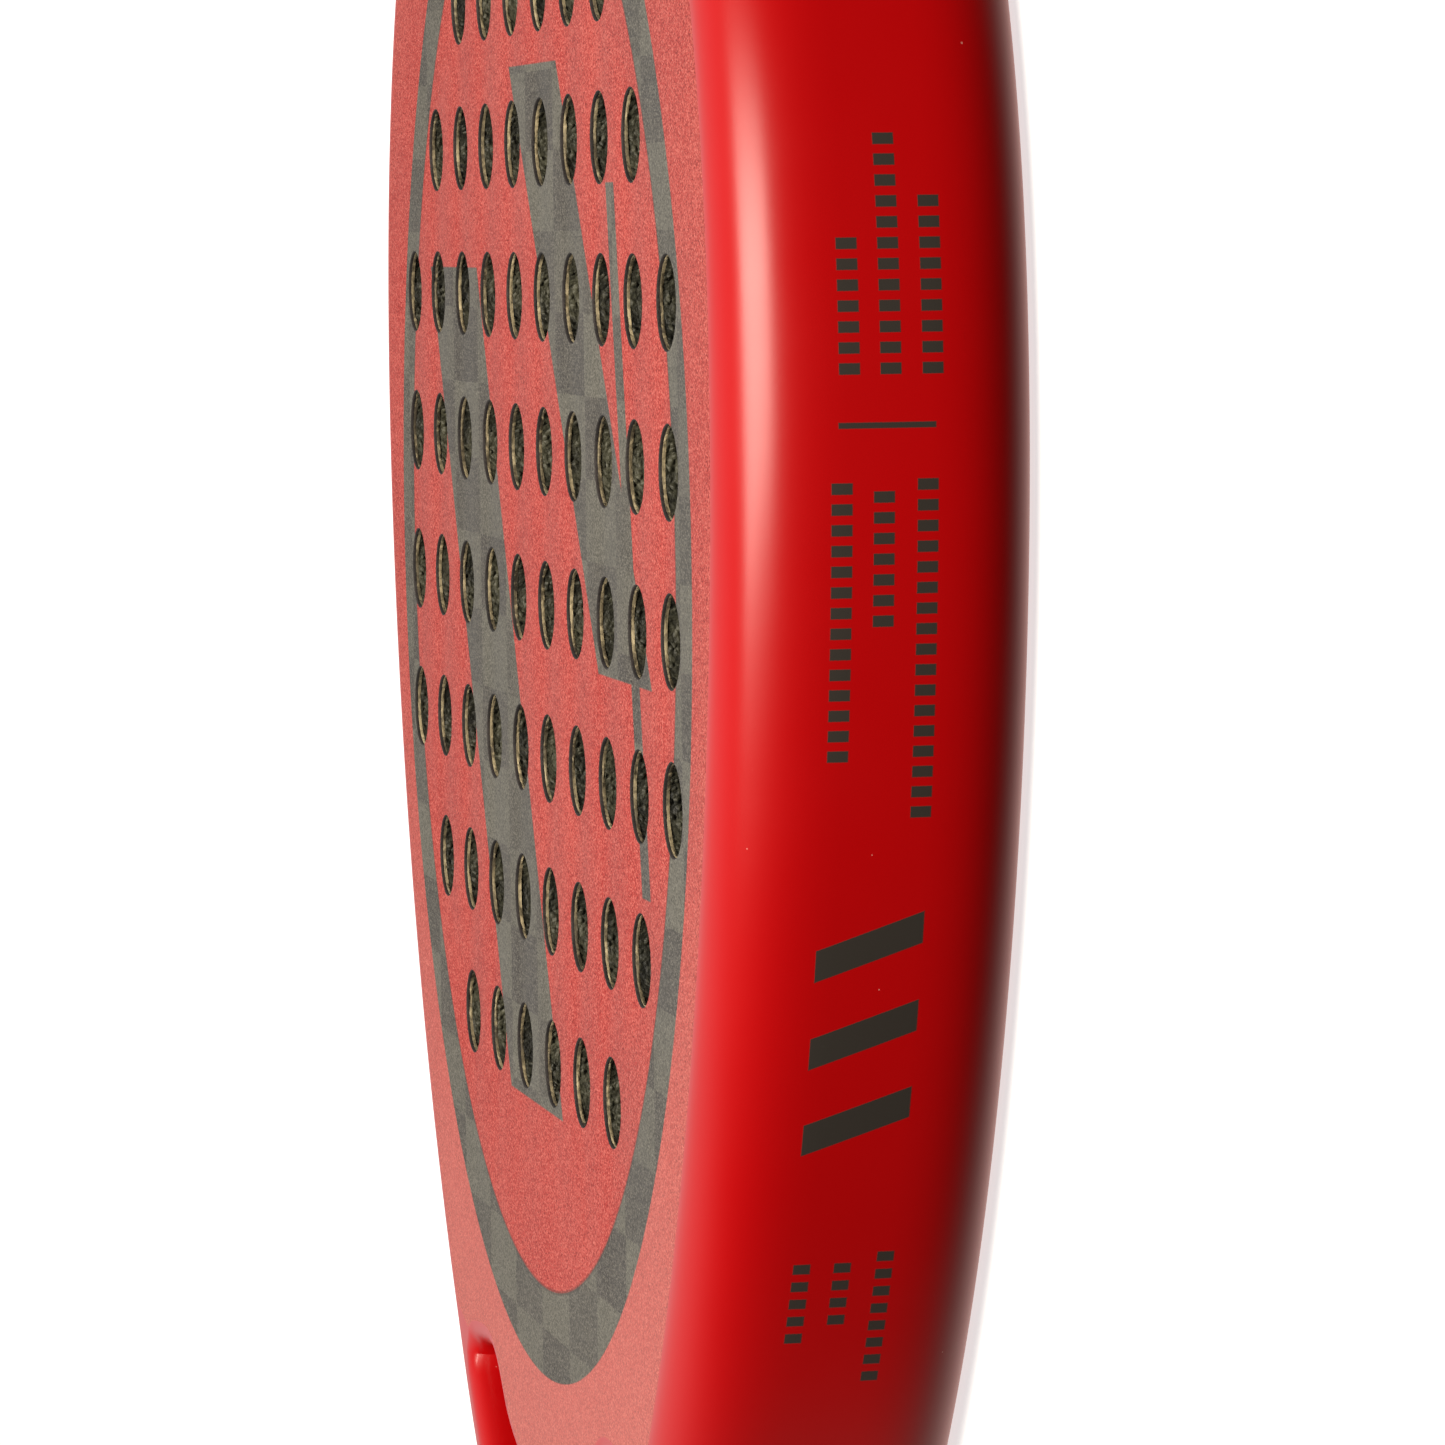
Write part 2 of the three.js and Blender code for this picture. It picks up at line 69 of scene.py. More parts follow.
class NodeBox:
    """A frame node's box in millimetres."""

    def __init__(self, node: str) -> None:
        """Reads the box of a node."""
        self.low, self.high = (np.array(corner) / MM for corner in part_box(node))

    def size(self, axis: int) -> float:
        """Gives the size along an axis."""
        return float(self.high[axis] - self.low[axis])

    def half(self, axis: int) -> float:
        """Gives half the size along an axis."""
        return self.size(axis) / 2

    def middle(self, axis: int) -> float:
        """Gives the middle along an axis."""
        return float(self.high[axis] + self.low[axis]) / 2


def ease(value: np.ndarray | float) -> np.ndarray | float:
    """Gives a smooth change from 0 to 1 as value goes from 0 to 1."""
    part = np.clip(value, 0.0, 1.0)
    return part * part * (3.0 - 2.0 * part)


def bezier(points: Sequence[Sequence[float]], count: int = 160) -> np.ndarray:
    """Samples a cubic curve.

    Args:
        points: The four control points, with any number of columns.
        count: How many samples to take.

    Returns:
        The samples, one row each.
    """
    a, b, c, d = (np.array(point, dtype=float) for point in points)
    t = np.linspace(0.0, 1.0, count)[:, None]
    return (1 - t) ** 3 * a + 3 * (1 - t) ** 2 * t * b + 3 * (1 - t) * t * t * c + t**3 * d


def resample(points: np.ndarray, step: float, closed: bool) -> np.ndarray:
    """Spaces points evenly along a line, measured in its first two columns.

    Args:
        points: The line's points, with further columns carried along.
        step: The distance between the new points.
        closed: Whether the last point joins the first one.

    Returns:
        The new points.
    """
    line = np.vstack([points, points[:1]]) if closed else points
    lengths = np.hypot(*np.diff(line[:, :2], axis=0).T)
    keep = np.concatenate([[True], lengths > 1e-6])
    line = line[keep]
    run = np.concatenate([[0.0], np.cumsum(np.hypot(*np.diff(line[:, :2], axis=0).T))])
    count = max(int(round(run[-1] / step)), 8)
    targets = np.linspace(0.0, run[-1], count + 1)
    if closed:
        targets = targets[:-1]
    return np.stack([np.interp(targets, run, column) for column in line.T], axis=1)


def soften(points: np.ndarray, passes: int, closed: bool) -> np.ndarray:
    """Rounds the corners of a line.

    Args:
        points: The line's evenly spaced points.
        passes: How many times each point moves towards its neighbours.
        closed: Whether the line is closed; an open line keeps its ends.

    Returns:
        The softened points.
    """
    line = points.copy()
    for _ in range(passes):
        middle = 0.25 * np.roll(line, 1, axis=0) + 0.5 * line + 0.25 * np.roll(line, -1, axis=0)
        if not closed:
            middle[0], middle[-1] = line[0], line[-1]
        line = middle
    return line


def left_normals(points: np.ndarray, closed: bool) -> np.ndarray:
    """Gives the unit direction to the left of travel at each point of a line.

    Args:
        points: The line's points, with x and y first.
        closed: Whether the last point joins the first one.

    Returns:
        Rows of x and y.
    """
    if closed:
        along = np.roll(points[:, :2], -1, axis=0) - np.roll(points[:, :2], 1, axis=0)
    else:
        along = np.gradient(points[:, :2], axis=0)
    along /= np.hypot(*along.T)[:, None]
    return np.stack([-along[:, 1], along[:, 0]], axis=1)


def inside(points: np.ndarray, outline: np.ndarray) -> np.ndarray:
    """Says which points lie inside a closed outline.

    Args:
        points: Rows of x and y.
        outline: The outline's points.

    Returns:
        True for each point that lies inside.
    """
    x, y = points[:, 0][:, None], points[:, 1][:, None]
    ax, ay = outline[:, 0], outline[:, 1]
    bx, by = np.roll(ax, -1), np.roll(ay, -1)
    spans = (ay > y) != (by > y)
    rise = np.where(by == ay, 1.0, by - ay)
    crossing = x < (bx - ax) * (y - ay) / rise + ax
    return (spans & crossing).sum(axis=1) % 2 == 1


def circle(count: int) -> np.ndarray:
    """Gives the points of a unit circle."""
    angles = np.arange(count) / count * 2 * math.pi
    return np.stack([np.cos(angles), np.sin(angles)], axis=1)


def raised(flat: np.ndarray, height: float | np.ndarray) -> np.ndarray:
    """Gives rows of x and y a height."""
    return np.column_stack([flat, np.broadcast_to(height, len(flat))])


# ---- Meshes ----


def add_to_scene(name: str, data: bpy.types.ID) -> bpy.types.Object:
    """Makes an object and puts it in the scene.

    Args:
        name: The object's name.
        data: Its mesh, light or camera.

    Returns:
        The object.
    """
    thing = bpy.data.objects.new(name, data)
    bpy.context.scene.collection.objects.link(thing)
    return thing


class MeshDraft:
    """Collects points and faces in millimetres and turns them into one object in metres."""

    def __init__(self) -> None:
        """Starts with nothing."""
        self.points: list[np.ndarray] = []
        self.faces: list[tuple[int, ...]] = []
        self.slots: list[int] = []
        self.count = 0

    def add_points(self, points: np.ndarray) -> int:
        """Adds points.

        Args:
            points: Rows of x, y and z.

        Returns:
            The index of the first new point.
        """
        first = self.count
        self.points.append(points)
        self.count += len(points)
        return first

    def strip(
        self, rings: Sequence[np.ndarray], around: bool, along: bool = False, slot: int = 0
    ) -> None:
        """Joins equal rings of points with quads.

        Args:
            rings: The rings, each with the same number of points.
            around: Whether each ring is closed.
            along: Whether the last ring joins the first one.
            slot: The material index of the faces.
        """
        size = len(rings[0])
        first = self.add_points(np.concatenate(rings))
        last = len(rings) if along else len(rings) - 1
        for i in range(last):
            a = first + i * size
            b = first + ((i + 1) % len(rings)) * size
            for j in range(size if around else size - 1):
                k = (j + 1) % size
                self.faces.append((a + j, b + j, b + k, a + k))
                self.slots.append(slot)

    def flat(
        self,
        outlines: Sequence[np.ndarray],
        height: Callable[[np.ndarray], np.ndarray | float],
        spare: np.ndarray | None = None,
        slot: int = 0,
    ) -> None:
        """Fills the first outline, less the others, with triangles.

        Args:
            outlines: Closed outlines of x and y; all but the first are openings.
            height: Gives z for rows of x and y.
            spare: Extra points inside the outline.
            slot: The material index of the faces.
        """
        coords = np.concatenate([outline[:, :2] for outline in outlines])
        edges = []
        start = 0
        for outline in outlines:
            size = len(outline)
            edges += [(start + j, start + (j + 1) % size) for j in range(size)]
            start += size
        if spare is not None and len(spare):
            coords = np.concatenate([coords, spare])
        found = delaunay_2d_cdt([Vector(pair) for pair in coords], edges, [], 1, 1e-6)
        flat_points = np.array([tuple(vector) for vector in found[0]])
        triangles = np.array(found[2])
        centres = flat_points[triangles].mean(axis=1)
        keep = inside(centres, outlines[0])
        for opening in outlines[1:]:
            middle = opening[:, :2].mean(axis=0)
            reach = np.hypot(*(opening[:, :2] - middle).T).max()
            near = np.hypot(*(centres - middle).T) < reach
            keep[near] &= ~inside(centres[near], opening)
        first = self.add_points(raised(flat_points, height(flat_points)))
        for triangle in triangles[keep]:
            self.faces.append(tuple(int(first + index) for index in triangle))
            self.slots.append(slot)

    def build(
        self, name: str, materials: Sequence[bpy.types.Material], crease: float
    ) -> bpy.types.Object:
        """Makes the object, with shared points merged and its faces turned out.

        Args:
            name: The object's name.
            materials: Its materials, by index.
            crease: The angle in degrees above which an edge stays sharp.

        Returns:
            The new object, linked to the scene.
        """
        mesh = bpy.data.meshes.new(name)
        mesh.from_pydata((np.concatenate(self.points) * MM).tolist(), [], self.faces)
        for material in materials:
            mesh.materials.append(material)
        mesh.polygons.foreach_set("material_index", self.slots)
        work = bmesh.new()
        work.from_mesh(mesh)
        bmesh.ops.remove_doubles(work, verts=work.verts, dist=2e-6)
        bmesh.ops.dissolve_degenerate(work, edges=work.edges, dist=1e-7)
        bmesh.ops.recalc_face_normals(work, faces=work.faces)
        work.to_mesh(mesh)
        work.free()
        mesh.shade_smooth()
        mesh.set_sharp_from_angle(angle=math.radians(crease))
        return add_to_scene(name, mesh)


# ---- Node groups and shader graphs ----


class Graph:
    """Short calls that build one node tree."""

    def __init__(self, tree: bpy.types.NodeTree) -> None:
        """Keeps the tree to build in."""
        self.tree = tree

    def put(self, socket: Socket, value: object) -> None:
        """Links a socket to an output, or sets its own value.

        Args:
            socket: The input socket.
            value: The output or the plain value.
        """
        if isinstance(value, bpy.types.NodeSocket):
            self.tree.links.new(value, socket)
        else:
            socket.default_value = value

    def node(
        self, kind: str, inputs: dict[str | int, object] | None = None, **settings: object
    ) -> bpy.types.Node:
        """Adds a node.

        Args:
            kind: The node's type.
            inputs: Values or links by input name or index.
            settings: The node's own settings.

        Returns:
            The node.
        """
        made = self.tree.nodes.new(kind)
        for key, value in settings.items():
            setattr(made, key, value)
        for key, value in (inputs or {}).items():
            self.put(made.inputs[key], value)
        return made

    def math(self, operation: str, *values: Socket | float, clamp: bool = False) -> Socket:
        """Adds a math node and gives its result."""
        made = self.node("ShaderNodeMath", dict(enumerate(values)), operation=operation, use_clamp=clamp)
        return made.outputs[0]

    def times(self, first: Socket, second: Socket | float) -> Socket:
        """Multiplies two values."""
        return self.math("MULTIPLY", first, second)

    def minus(self, first: Socket | float, second: Socket | float) -> Socket:
        """Takes the second value from the first one."""
        return self.math("SUBTRACT", first, second)

    def within(self, depth: Socket, edge: Socket) -> Socket:
        """Gives 1 where a depth is over 0 and 0 elsewhere, with a soft edge."""
        return self.smooth(depth, self.times(edge, -1.0), edge)

    def smooth(self, value: Socket | float, low: float | Socket, high: float | Socket) -> Socket:
        """Gives a smooth step.

        Args:
            value: What is compared.
            low: Where the step is 0.
            high: Where it is 1, which may be the lower of the two.

        Returns:
            The step, from 0 to 1.
        """
        inputs = {"Value": value, "From Min": low, "From Max": high}
        made = self.node("ShaderNodeMapRange", inputs, interpolation_type="SMOOTHSTEP")
        return made.outputs[0]

    def mix(self, factor: Socket, first: object, second: object) -> Socket:
        """Mixes two colours and gives the result."""
        inputs = {0: factor, 6: first, 7: second}
        return self.node("ShaderNodeMix", inputs, data_type="RGBA").outputs[2]

    def tint(self, mask: Socket, share: float, under: object, over: object) -> Socket:
        """Lays a share of one colour over another where a mask says."""
        return self.mix(self.times(mask, share), under, over)

    def noise(self, vector: Socket, scale: float | Socket, detail: float = 2.0) -> Socket:
        """Gives a noise value."""
        inputs = {"Vector": vector, "Scale": scale, "Detail": detail}
        return self.node("ShaderNodeTexNoise", inputs).outputs["Fac"]

    def group(self, tree: bpy.types.NodeTree, **inputs: object) -> Sockets:
        """Places a node group.

        Args:
            tree: The group.
            inputs: Its inputs by name, with an underscore for a space.

        Returns:
            Its outputs by name.
        """
        made = self.node("ShaderNodeGroup", node_tree=tree)
        for key, value in inputs.items():
            self.put(made.inputs[key.replace("_", " ")], value)
        return {output.name: output for output in made.outputs}


class Surface(Graph):
    """A material's graph, with its shader and the surface's own place in metres."""

    def __init__(self, material: bpy.types.Material) -> None:
        """Finds the shader and the place.

        Args:
            material: The material, with its nodes.
        """
        super().__init__(material.node_tree)
        self.shader = material.node_tree.nodes["Principled BSDF"]
        self.vector = self.node("ShaderNodeTexCoord").outputs["Object"]
        self.x, self.y, self.z = self.node("ShaderNodeSeparateXYZ", {0: self.vector}).outputs

    def feed(self, name: str, value: object) -> None:
        """Links or sets one of the shader's inputs."""
        self.put(self.shader.inputs[name], value)

    def cloud(self, scale: float, low: float = 0.0, high: float = 1.0) -> Socket:
        """Gives a value that changes slowly over the surface, from low to high."""
        inputs = {"Vector": self.vector, "Scale": scale, "Low": low, "High": high}
        return self.group(cloud_group(), **inputs)["Value"]

    def grain(self, scale: float) -> Sockets:
        """Gives the masks and the height of fine sand."""
        return self.group(grain_group(), Vector=self.vector, Scale=scale)

    def bump(self, height: Socket, strength: float, distance: float) -> None:
        """Feeds a height to the shader's normal.

        Args:
            height: The height, from 0 to 1.
            strength: How much of it shows.
            distance: How high 1 is, in metres.
        """
        inputs = {"Strength": strength, "Distance": distance, "Height": height}
        self.feed("Normal", self.node("ShaderNodeBump", inputs).outputs[0])


class SocketKind(Enum):
    """The kinds of socket that a group shows."""

    NUMBER = "NodeSocketFloat"
    VECTOR = "NodeSocketVector"


def node_group(name: str, *inputs: str) -> Callable[[Callable], Callable[[], bpy.types.NodeTree]]:
    """Turns a function that fills a graph into one that gives a node group, built once.

    Args:
        name: The group's name.
        inputs: The names of its inputs: numbers, and a vector where the name says so.

    Returns:
        The decorator, for a function that gives a number for each output.
    """

    def wrap(fill: Callable[[Graph, Sockets], Sockets]) -> Callable[[], bpy.types.NodeTree]:
        """Wraps the function that fills the graph.

        Args:
            fill: That function.

        Returns:
            The function that gives the group.
        """

        def give() -> bpy.types.NodeTree:
            """Gives the group, the same one on every call.

            Returns:
                The group.
            """
            if name in bpy.data.node_groups:
                return bpy.data.node_groups[name]
            tree = bpy.data.node_groups.new(name, "ShaderNodeTree")
            for label in inputs:
                kind = SocketKind.VECTOR if label == "Vector" else SocketKind.NUMBER
                tree.interface.new_socket(label, in_out="INPUT", socket_type=kind.value)
            graph = Graph(tree)
            entry = graph.node("NodeGroupInput")
            results = fill(graph, {output.name: output for output in entry.outputs if output.name})
            for label in results:
                tree.interface.new_socket(label, in_out="OUTPUT", socket_type=SocketKind.NUMBER.value)
            graph.node("NodeGroupOutput", results)
            return tree

        return give

    return wrap


@node_group("Sand grain", "Vector", "Scale")
def grain_group(graph: Graph, given: Sockets) -> Sockets:
    """Fine sand: a mask of light grains, a mask of dark ones and their height.

    Args:
        graph: The group's graph.
        given: Its inputs.

    Returns:
        Its outputs.
    """
    fine = graph.noise(given["Vector"], given["Scale"], 3.0)
    size = graph.times(given["Scale"], 0.8)
    cells = graph.node("ShaderNodeTexVoronoi", {"Vector": given["Vector"], "Scale": size})
    tone = graph.node("ShaderNodeSeparateColor", {0: cells.outputs["Color"]}).outputs[0]
    light = graph.times(graph.smooth(fine, 0.46, 0.6), graph.smooth(tone, 0.25, 0.65))
    dark = graph.times(graph.smooth(fine, 0.54, 0.4), graph.smooth(tone, 0.75, 0.35))
    bead = graph.smooth(cells.outputs["Distance"], 0.7, 0.1)
    height = graph.math("MULTIPLY_ADD", bead, graph.smooth(tone, 0.3, 0.9), fine)
    return {"Light": light, "Dark": dark, "Height": height}


@node_group("Dust specks", "Vector", "Scale", "Amount")
def dust_group(graph: Graph, given: Sockets) -> Sockets:
    """Tiny specks of dust scattered over a surface.

    Args:
        graph: The group's graph.
        given: Its inputs.

    Returns:
        Its outputs.
    """
    cells = graph.node("ShaderNodeTexVoronoi", {"Vector": given["Vector"], "Scale": given["Scale"]})
    pick = graph.node("ShaderNodeSeparateColor", {0: cells.outputs["Color"]}).outputs
    chosen = graph.math("LESS_THAN", pick[0], given["Amount"])
    radius = graph.math("MULTIPLY_ADD", pick[1], 0.05, 0.03)
    spot = graph.smooth(cells.outputs["Distance"], radius, graph.times(radius, 0.6))
    return {"Mask": graph.times(spot, chosen)}


@node_group(
    "Printed bar", "Along", "Across", "Centre Along", "Centre Across", "Half Length", "Half Height",
    "Slant", "Pitch", "Gap", "Edge",
)
def bar_group(graph: Graph, given: Sockets) -> Sockets:
    """A straight bar, cut into dashes when its pitch is shorter than the bar.

    Args:
        graph: The group's graph.
        given: Its inputs.

    Returns:
        Its outputs.
    """
    along = graph.minus(given["Along"], given["Centre Along"])
    across = graph.minus(given["Across"], given["Centre Across"])
    sheared = graph.math("MULTIPLY_ADD", across, given["Slant"], along)
    room = graph.minus(given["Half Length"], graph.math("ABSOLUTE", sheared))
    side = graph.minus(given["Half Height"], graph.math("ABSOLUTE", across))
    bare = graph.times(given["Pitch"], given["Gap"])
    run = graph.math("ADD", graph.math("ADD", sheared, given["Half Length"]), bare)
    phase = graph.math("PINGPONG", run, graph.times(given["Pitch"], 0.5))
    gap = graph.minus(phase, bare)
    nearest = graph.math("MINIMUM", graph.math("MINIMUM", room, side), gap)
    return {"Mask": graph.within(nearest, given["Edge"])}


@node_group("Half oval", "X", "Y", "Centre", "Side", "Top", "Bottom", "Edge")
def oval_group(graph: Graph, given: Sockets) -> Sockets:
    """The inside of an oval whose upper and lower halves differ in height.

    Args:
        graph: The group's graph.
        given: Its inputs.

    Returns:
        Its outputs.
    """
    rise = graph.minus(given["Y"], given["Centre"])
    upper = graph.math("GREATER_THAN", rise, 0.0)
    spread = graph.minus(given["Top"], given["Bottom"])
    tall = graph.math("MULTIPLY_ADD", upper, spread, given["Bottom"])
    across = graph.math("DIVIDE", given["X"], given["Side"])
    down = graph.math("DIVIDE", rise, tall)
    squares = [graph.math("POWER", part, 2.0) for part in (across, down)]
    reach = graph.math("SQRT", graph.math("ADD", *squares))
    depth = graph.times(graph.minus(1.0, reach), given["Side"])
    return {"Mask": graph.within(depth, given["Edge"]), "Depth": depth}


@node_group("Spread tow", "X", "Y", "Width", "Length")
def tow_group(graph: Graph, given: Sockets) -> Sockets:
    """Flat carbon tows in a plain weave of wide checks.

    Args:
        graph: The group's graph.
        given: Its inputs.

    Returns:
        Its outputs.
    """
    across = graph.math("DIVIDE", given["X"], given["Width"])
    along = graph.math("DIVIDE", given["Y"], given["Length"])
    scaled = graph.node("ShaderNodeCombineXYZ", {0: across, 1: along}).outputs[0]
    column, row = graph.math("FLOOR", across), graph.math("FLOOR", along)
    check = graph.math("FLOORED_MODULO", graph.math("ADD", column, row), 2.0)
    cell = graph.node("ShaderNodeCombineXYZ", {0: column, 1: row}).outputs[0]
    tone = graph.node("ShaderNodeTexWhiteNoise", {"Vector": cell}, noise_dimensions="2D")
    fibres = []
    for stretch in ((1.5, 60.0, 1.0), (110.0, 1.2, 1.0)):
        drawn = graph.node("ShaderNodeMapping", {"Vector": scaled, "Scale": stretch}).outputs[0]
        fibres.append(graph.noise(drawn, 1.0, 3.0))
    weft = graph.times(fibres[1], graph.minus(1.0, check))
    fibre = graph.math("MULTIPLY_ADD", fibres[0], check, weft)
    return {"Check": check, "Tone": tone.outputs["Value"], "Fibre": fibre}


@node_group("Slow cloud", "Vector", "Scale", "Low", "High")
def cloud_group(graph: Graph, given: Sockets) -> Sockets:
    """Slow changes over a surface, for colour and gloss that isn't quite even.

    Args:
        graph: The group's graph.
        given: Its inputs.

    Returns:
        Its outputs.
    """
    slow = graph.noise(given["Vector"], given["Scale"], 3.0)
    spread = graph.minus(given["High"], given["Low"])
    return {"Value": graph.math("MULTIPLY_ADD", slow, spread, given["Low"])}


def linear(code: str) -> Colour:
    """Turns a hexadecimal colour into a linear one.

    Args:
        code: Two digits each for red, green and blue.

    Returns:
        Red, green, blue and an alpha of 1.
    """
    parts = np.array([int(code[i:i + 2], 16) / 255.0 for i in (0, 2, 4)])
    bright = np.where(parts <= 0.04045, parts / 12.92, ((parts + 0.055) / 1.055) ** 2.4)
    return float(bright[0]), float(bright[1]), float(bright[2]), 1.0


# ---- Finishes ----


@dataclass(frozen=True)
class Finish:
    """One finish of the racket.

    Attributes:
        name: The material's name.
        roughness: Its roughness, about which the surface varies.
    """

    name: str
    roughness: float = 0.5

    def material(self) -> bpy.types.Material:
        """Builds the material, once.

        Returns:
            The material.
        """
        if self.name in bpy.data.materials:
            return bpy.data.materials[self.name]
        made = bpy.data.materials.new(self.name)
        made.use_nodes = True
        self.dress(Surface(made))
        return made

    def dress(self, graph: Surface) -> None:
        """Adds the finish's own nodes.

        Args:
            graph: The material's graph.
        """
        raise NotImplementedError


@dataclass(frozen=True)
class PrintedBar:
    """A row of plain dashes printed on the frame's side, in millimetres.

    Attributes:
        low: Where the row starts along Y.
        count: How many dashes it has.
        height: The middle of the row above the rear face.
        half: Half the height of a dash.
        pitch: The distance from dash to dash.
        gap: The part of the pitch that is left bare on each side of a dash.
        slant: How far a dash leans.
    """

    low: float
    count: int
    height: float
    half: float = 1.25
    pitch: float = 2.4
    gap: float = 0.22
    slant: float = 0.0

    def length(self) -> float:
        """Gives the row's length, from the first dash's start to the last one's end."""
        return self.pitch * (self.count - 2.0 * self.gap)


SIDE_PRINT = (
    PrintedBar(109.2, 7, 23.6),
    PrintedBar(109.2, 12, 18.7),
    PrintedBar(109.2, 9, 13.7),
    PrintedBar(103.0, 1, 19.2, half=5.8, pitch=0.7, gap=0.0),
    PrintedBar(64.2, 14, 24.6),
    PrintedBar(80.0, 7, 19.6),
    PrintedBar(57.4, 17, 14.4),
    PrintedBar(18.4, 3, 19.7, half=6.4, pitch=10.8, gap=0.32, slant=0.35),
    PrintedBar(-8.4, 5, 24.6, half=1.05, pitch=2.3),
    PrintedBar(-6.1, 4, 19.6, half=1.05, pitch=2.3),
    PrintedBar(-14.0, 8, 14.4, half=1.05, pitch=2.3),
)


@dataclass(frozen=True)
class Lacquer(Finish):
    """Satin red lacquer with printed dashes on the frame's sides."""

    red: Colour = (0.47, 0.0009, 0.002, 1.0)
    deep: Colour = (0.41, 0.0006, 0.0015, 1.0)
    ink: Colour = linear("34302C")
    speck: Colour = linear("E8A79A")
    side_x: float = 60.0
    print_edge: float = 0.08

    def dress(self, graph: Surface) -> None:
        """Adds the lacquer's nodes.

        Args:
            graph: The material's graph.
        """
        paint = graph.mix(graph.cloud(22.0), self.red, self.deep)
        dust = graph.group(dust_group(), Vector=graph.vector, Scale=420.0, Amount=0.06)["Mask"]
        paint = graph.tint(dust, 0.55, paint, self.speck)
        ink = self.print_mask(graph)
        graph.feed("Base Color", graph.mix(ink, paint, self.ink))
        gloss = graph.cloud(60.0, self.roughness - 0.03, self.roughness + 0.05)
        rough = graph.math("MULTIPLY_ADD", ink, 0.14, gloss)
        graph.feed("Roughness", graph.math("MULTIPLY_ADD", dust, 0.3, rough))
        graph.feed("Specular IOR Level", 0.45)
        peel = graph.noise(graph.vector, 900.0, 2.0)
        relief = graph.math("MULTIPLY_ADD", ink, 0.9, graph.times(peel, 0.35))
        graph.bump(relief, 0.25, 0.00004)

    def print_mask(self, graph: Surface) -> Socket:
        """Gives the mask of every printed dash.

        Args:
            graph: The material's graph.

        Returns:
            The mask, on the outer sides only.
        """
        ink: Socket | float = 0.0
        for bar in SIDE_PRINT:
            mask = graph.group(
                bar_group(),
                Along=graph.y,
                Across=graph.z,
                Centre_Along=(bar.low + bar.length() / 2) * MM,
                Centre_Across=bar.height * MM,
                Half_Length=bar.length() / 2 * MM,
                Half_Height=bar.half * MM,
                Slant=bar.slant,
                Pitch=bar.pitch * MM,
                Gap=bar.gap,
                Edge=self.print_edge * MM,
            )["Mask"]
            ink = graph.math("MAXIMUM", ink, mask)
        side = graph.math("GREATER_THAN", graph.math("ABSOLUTE", graph.x), self.side_x * MM)
        return graph.times(ink, side)


@dataclass(frozen=True)
class FaceBand:
    """A plain straight band across the face, in millimetres.

    Attributes:
        middle_x: The band's middle across the head.
        middle_y: The band's middle along the racket.
        half_length: Half its length along Y.
        half_width: Half its width across.
        lean: How far it moves across for each millimetre down.
    """

    middle_x: float
    middle_y: float
    half_length: float
    half_width: float
    lean: float


FACE_BANDS = (
    FaceBand(34.0, 109.0, 39.0, 17.0, 0.74),
    FaceBand(-30.0, 65.0, 56.0, 19.0, 0.5),
    FaceBand(66.0, 88.0, 44.0, 2.6, 0.2),
)


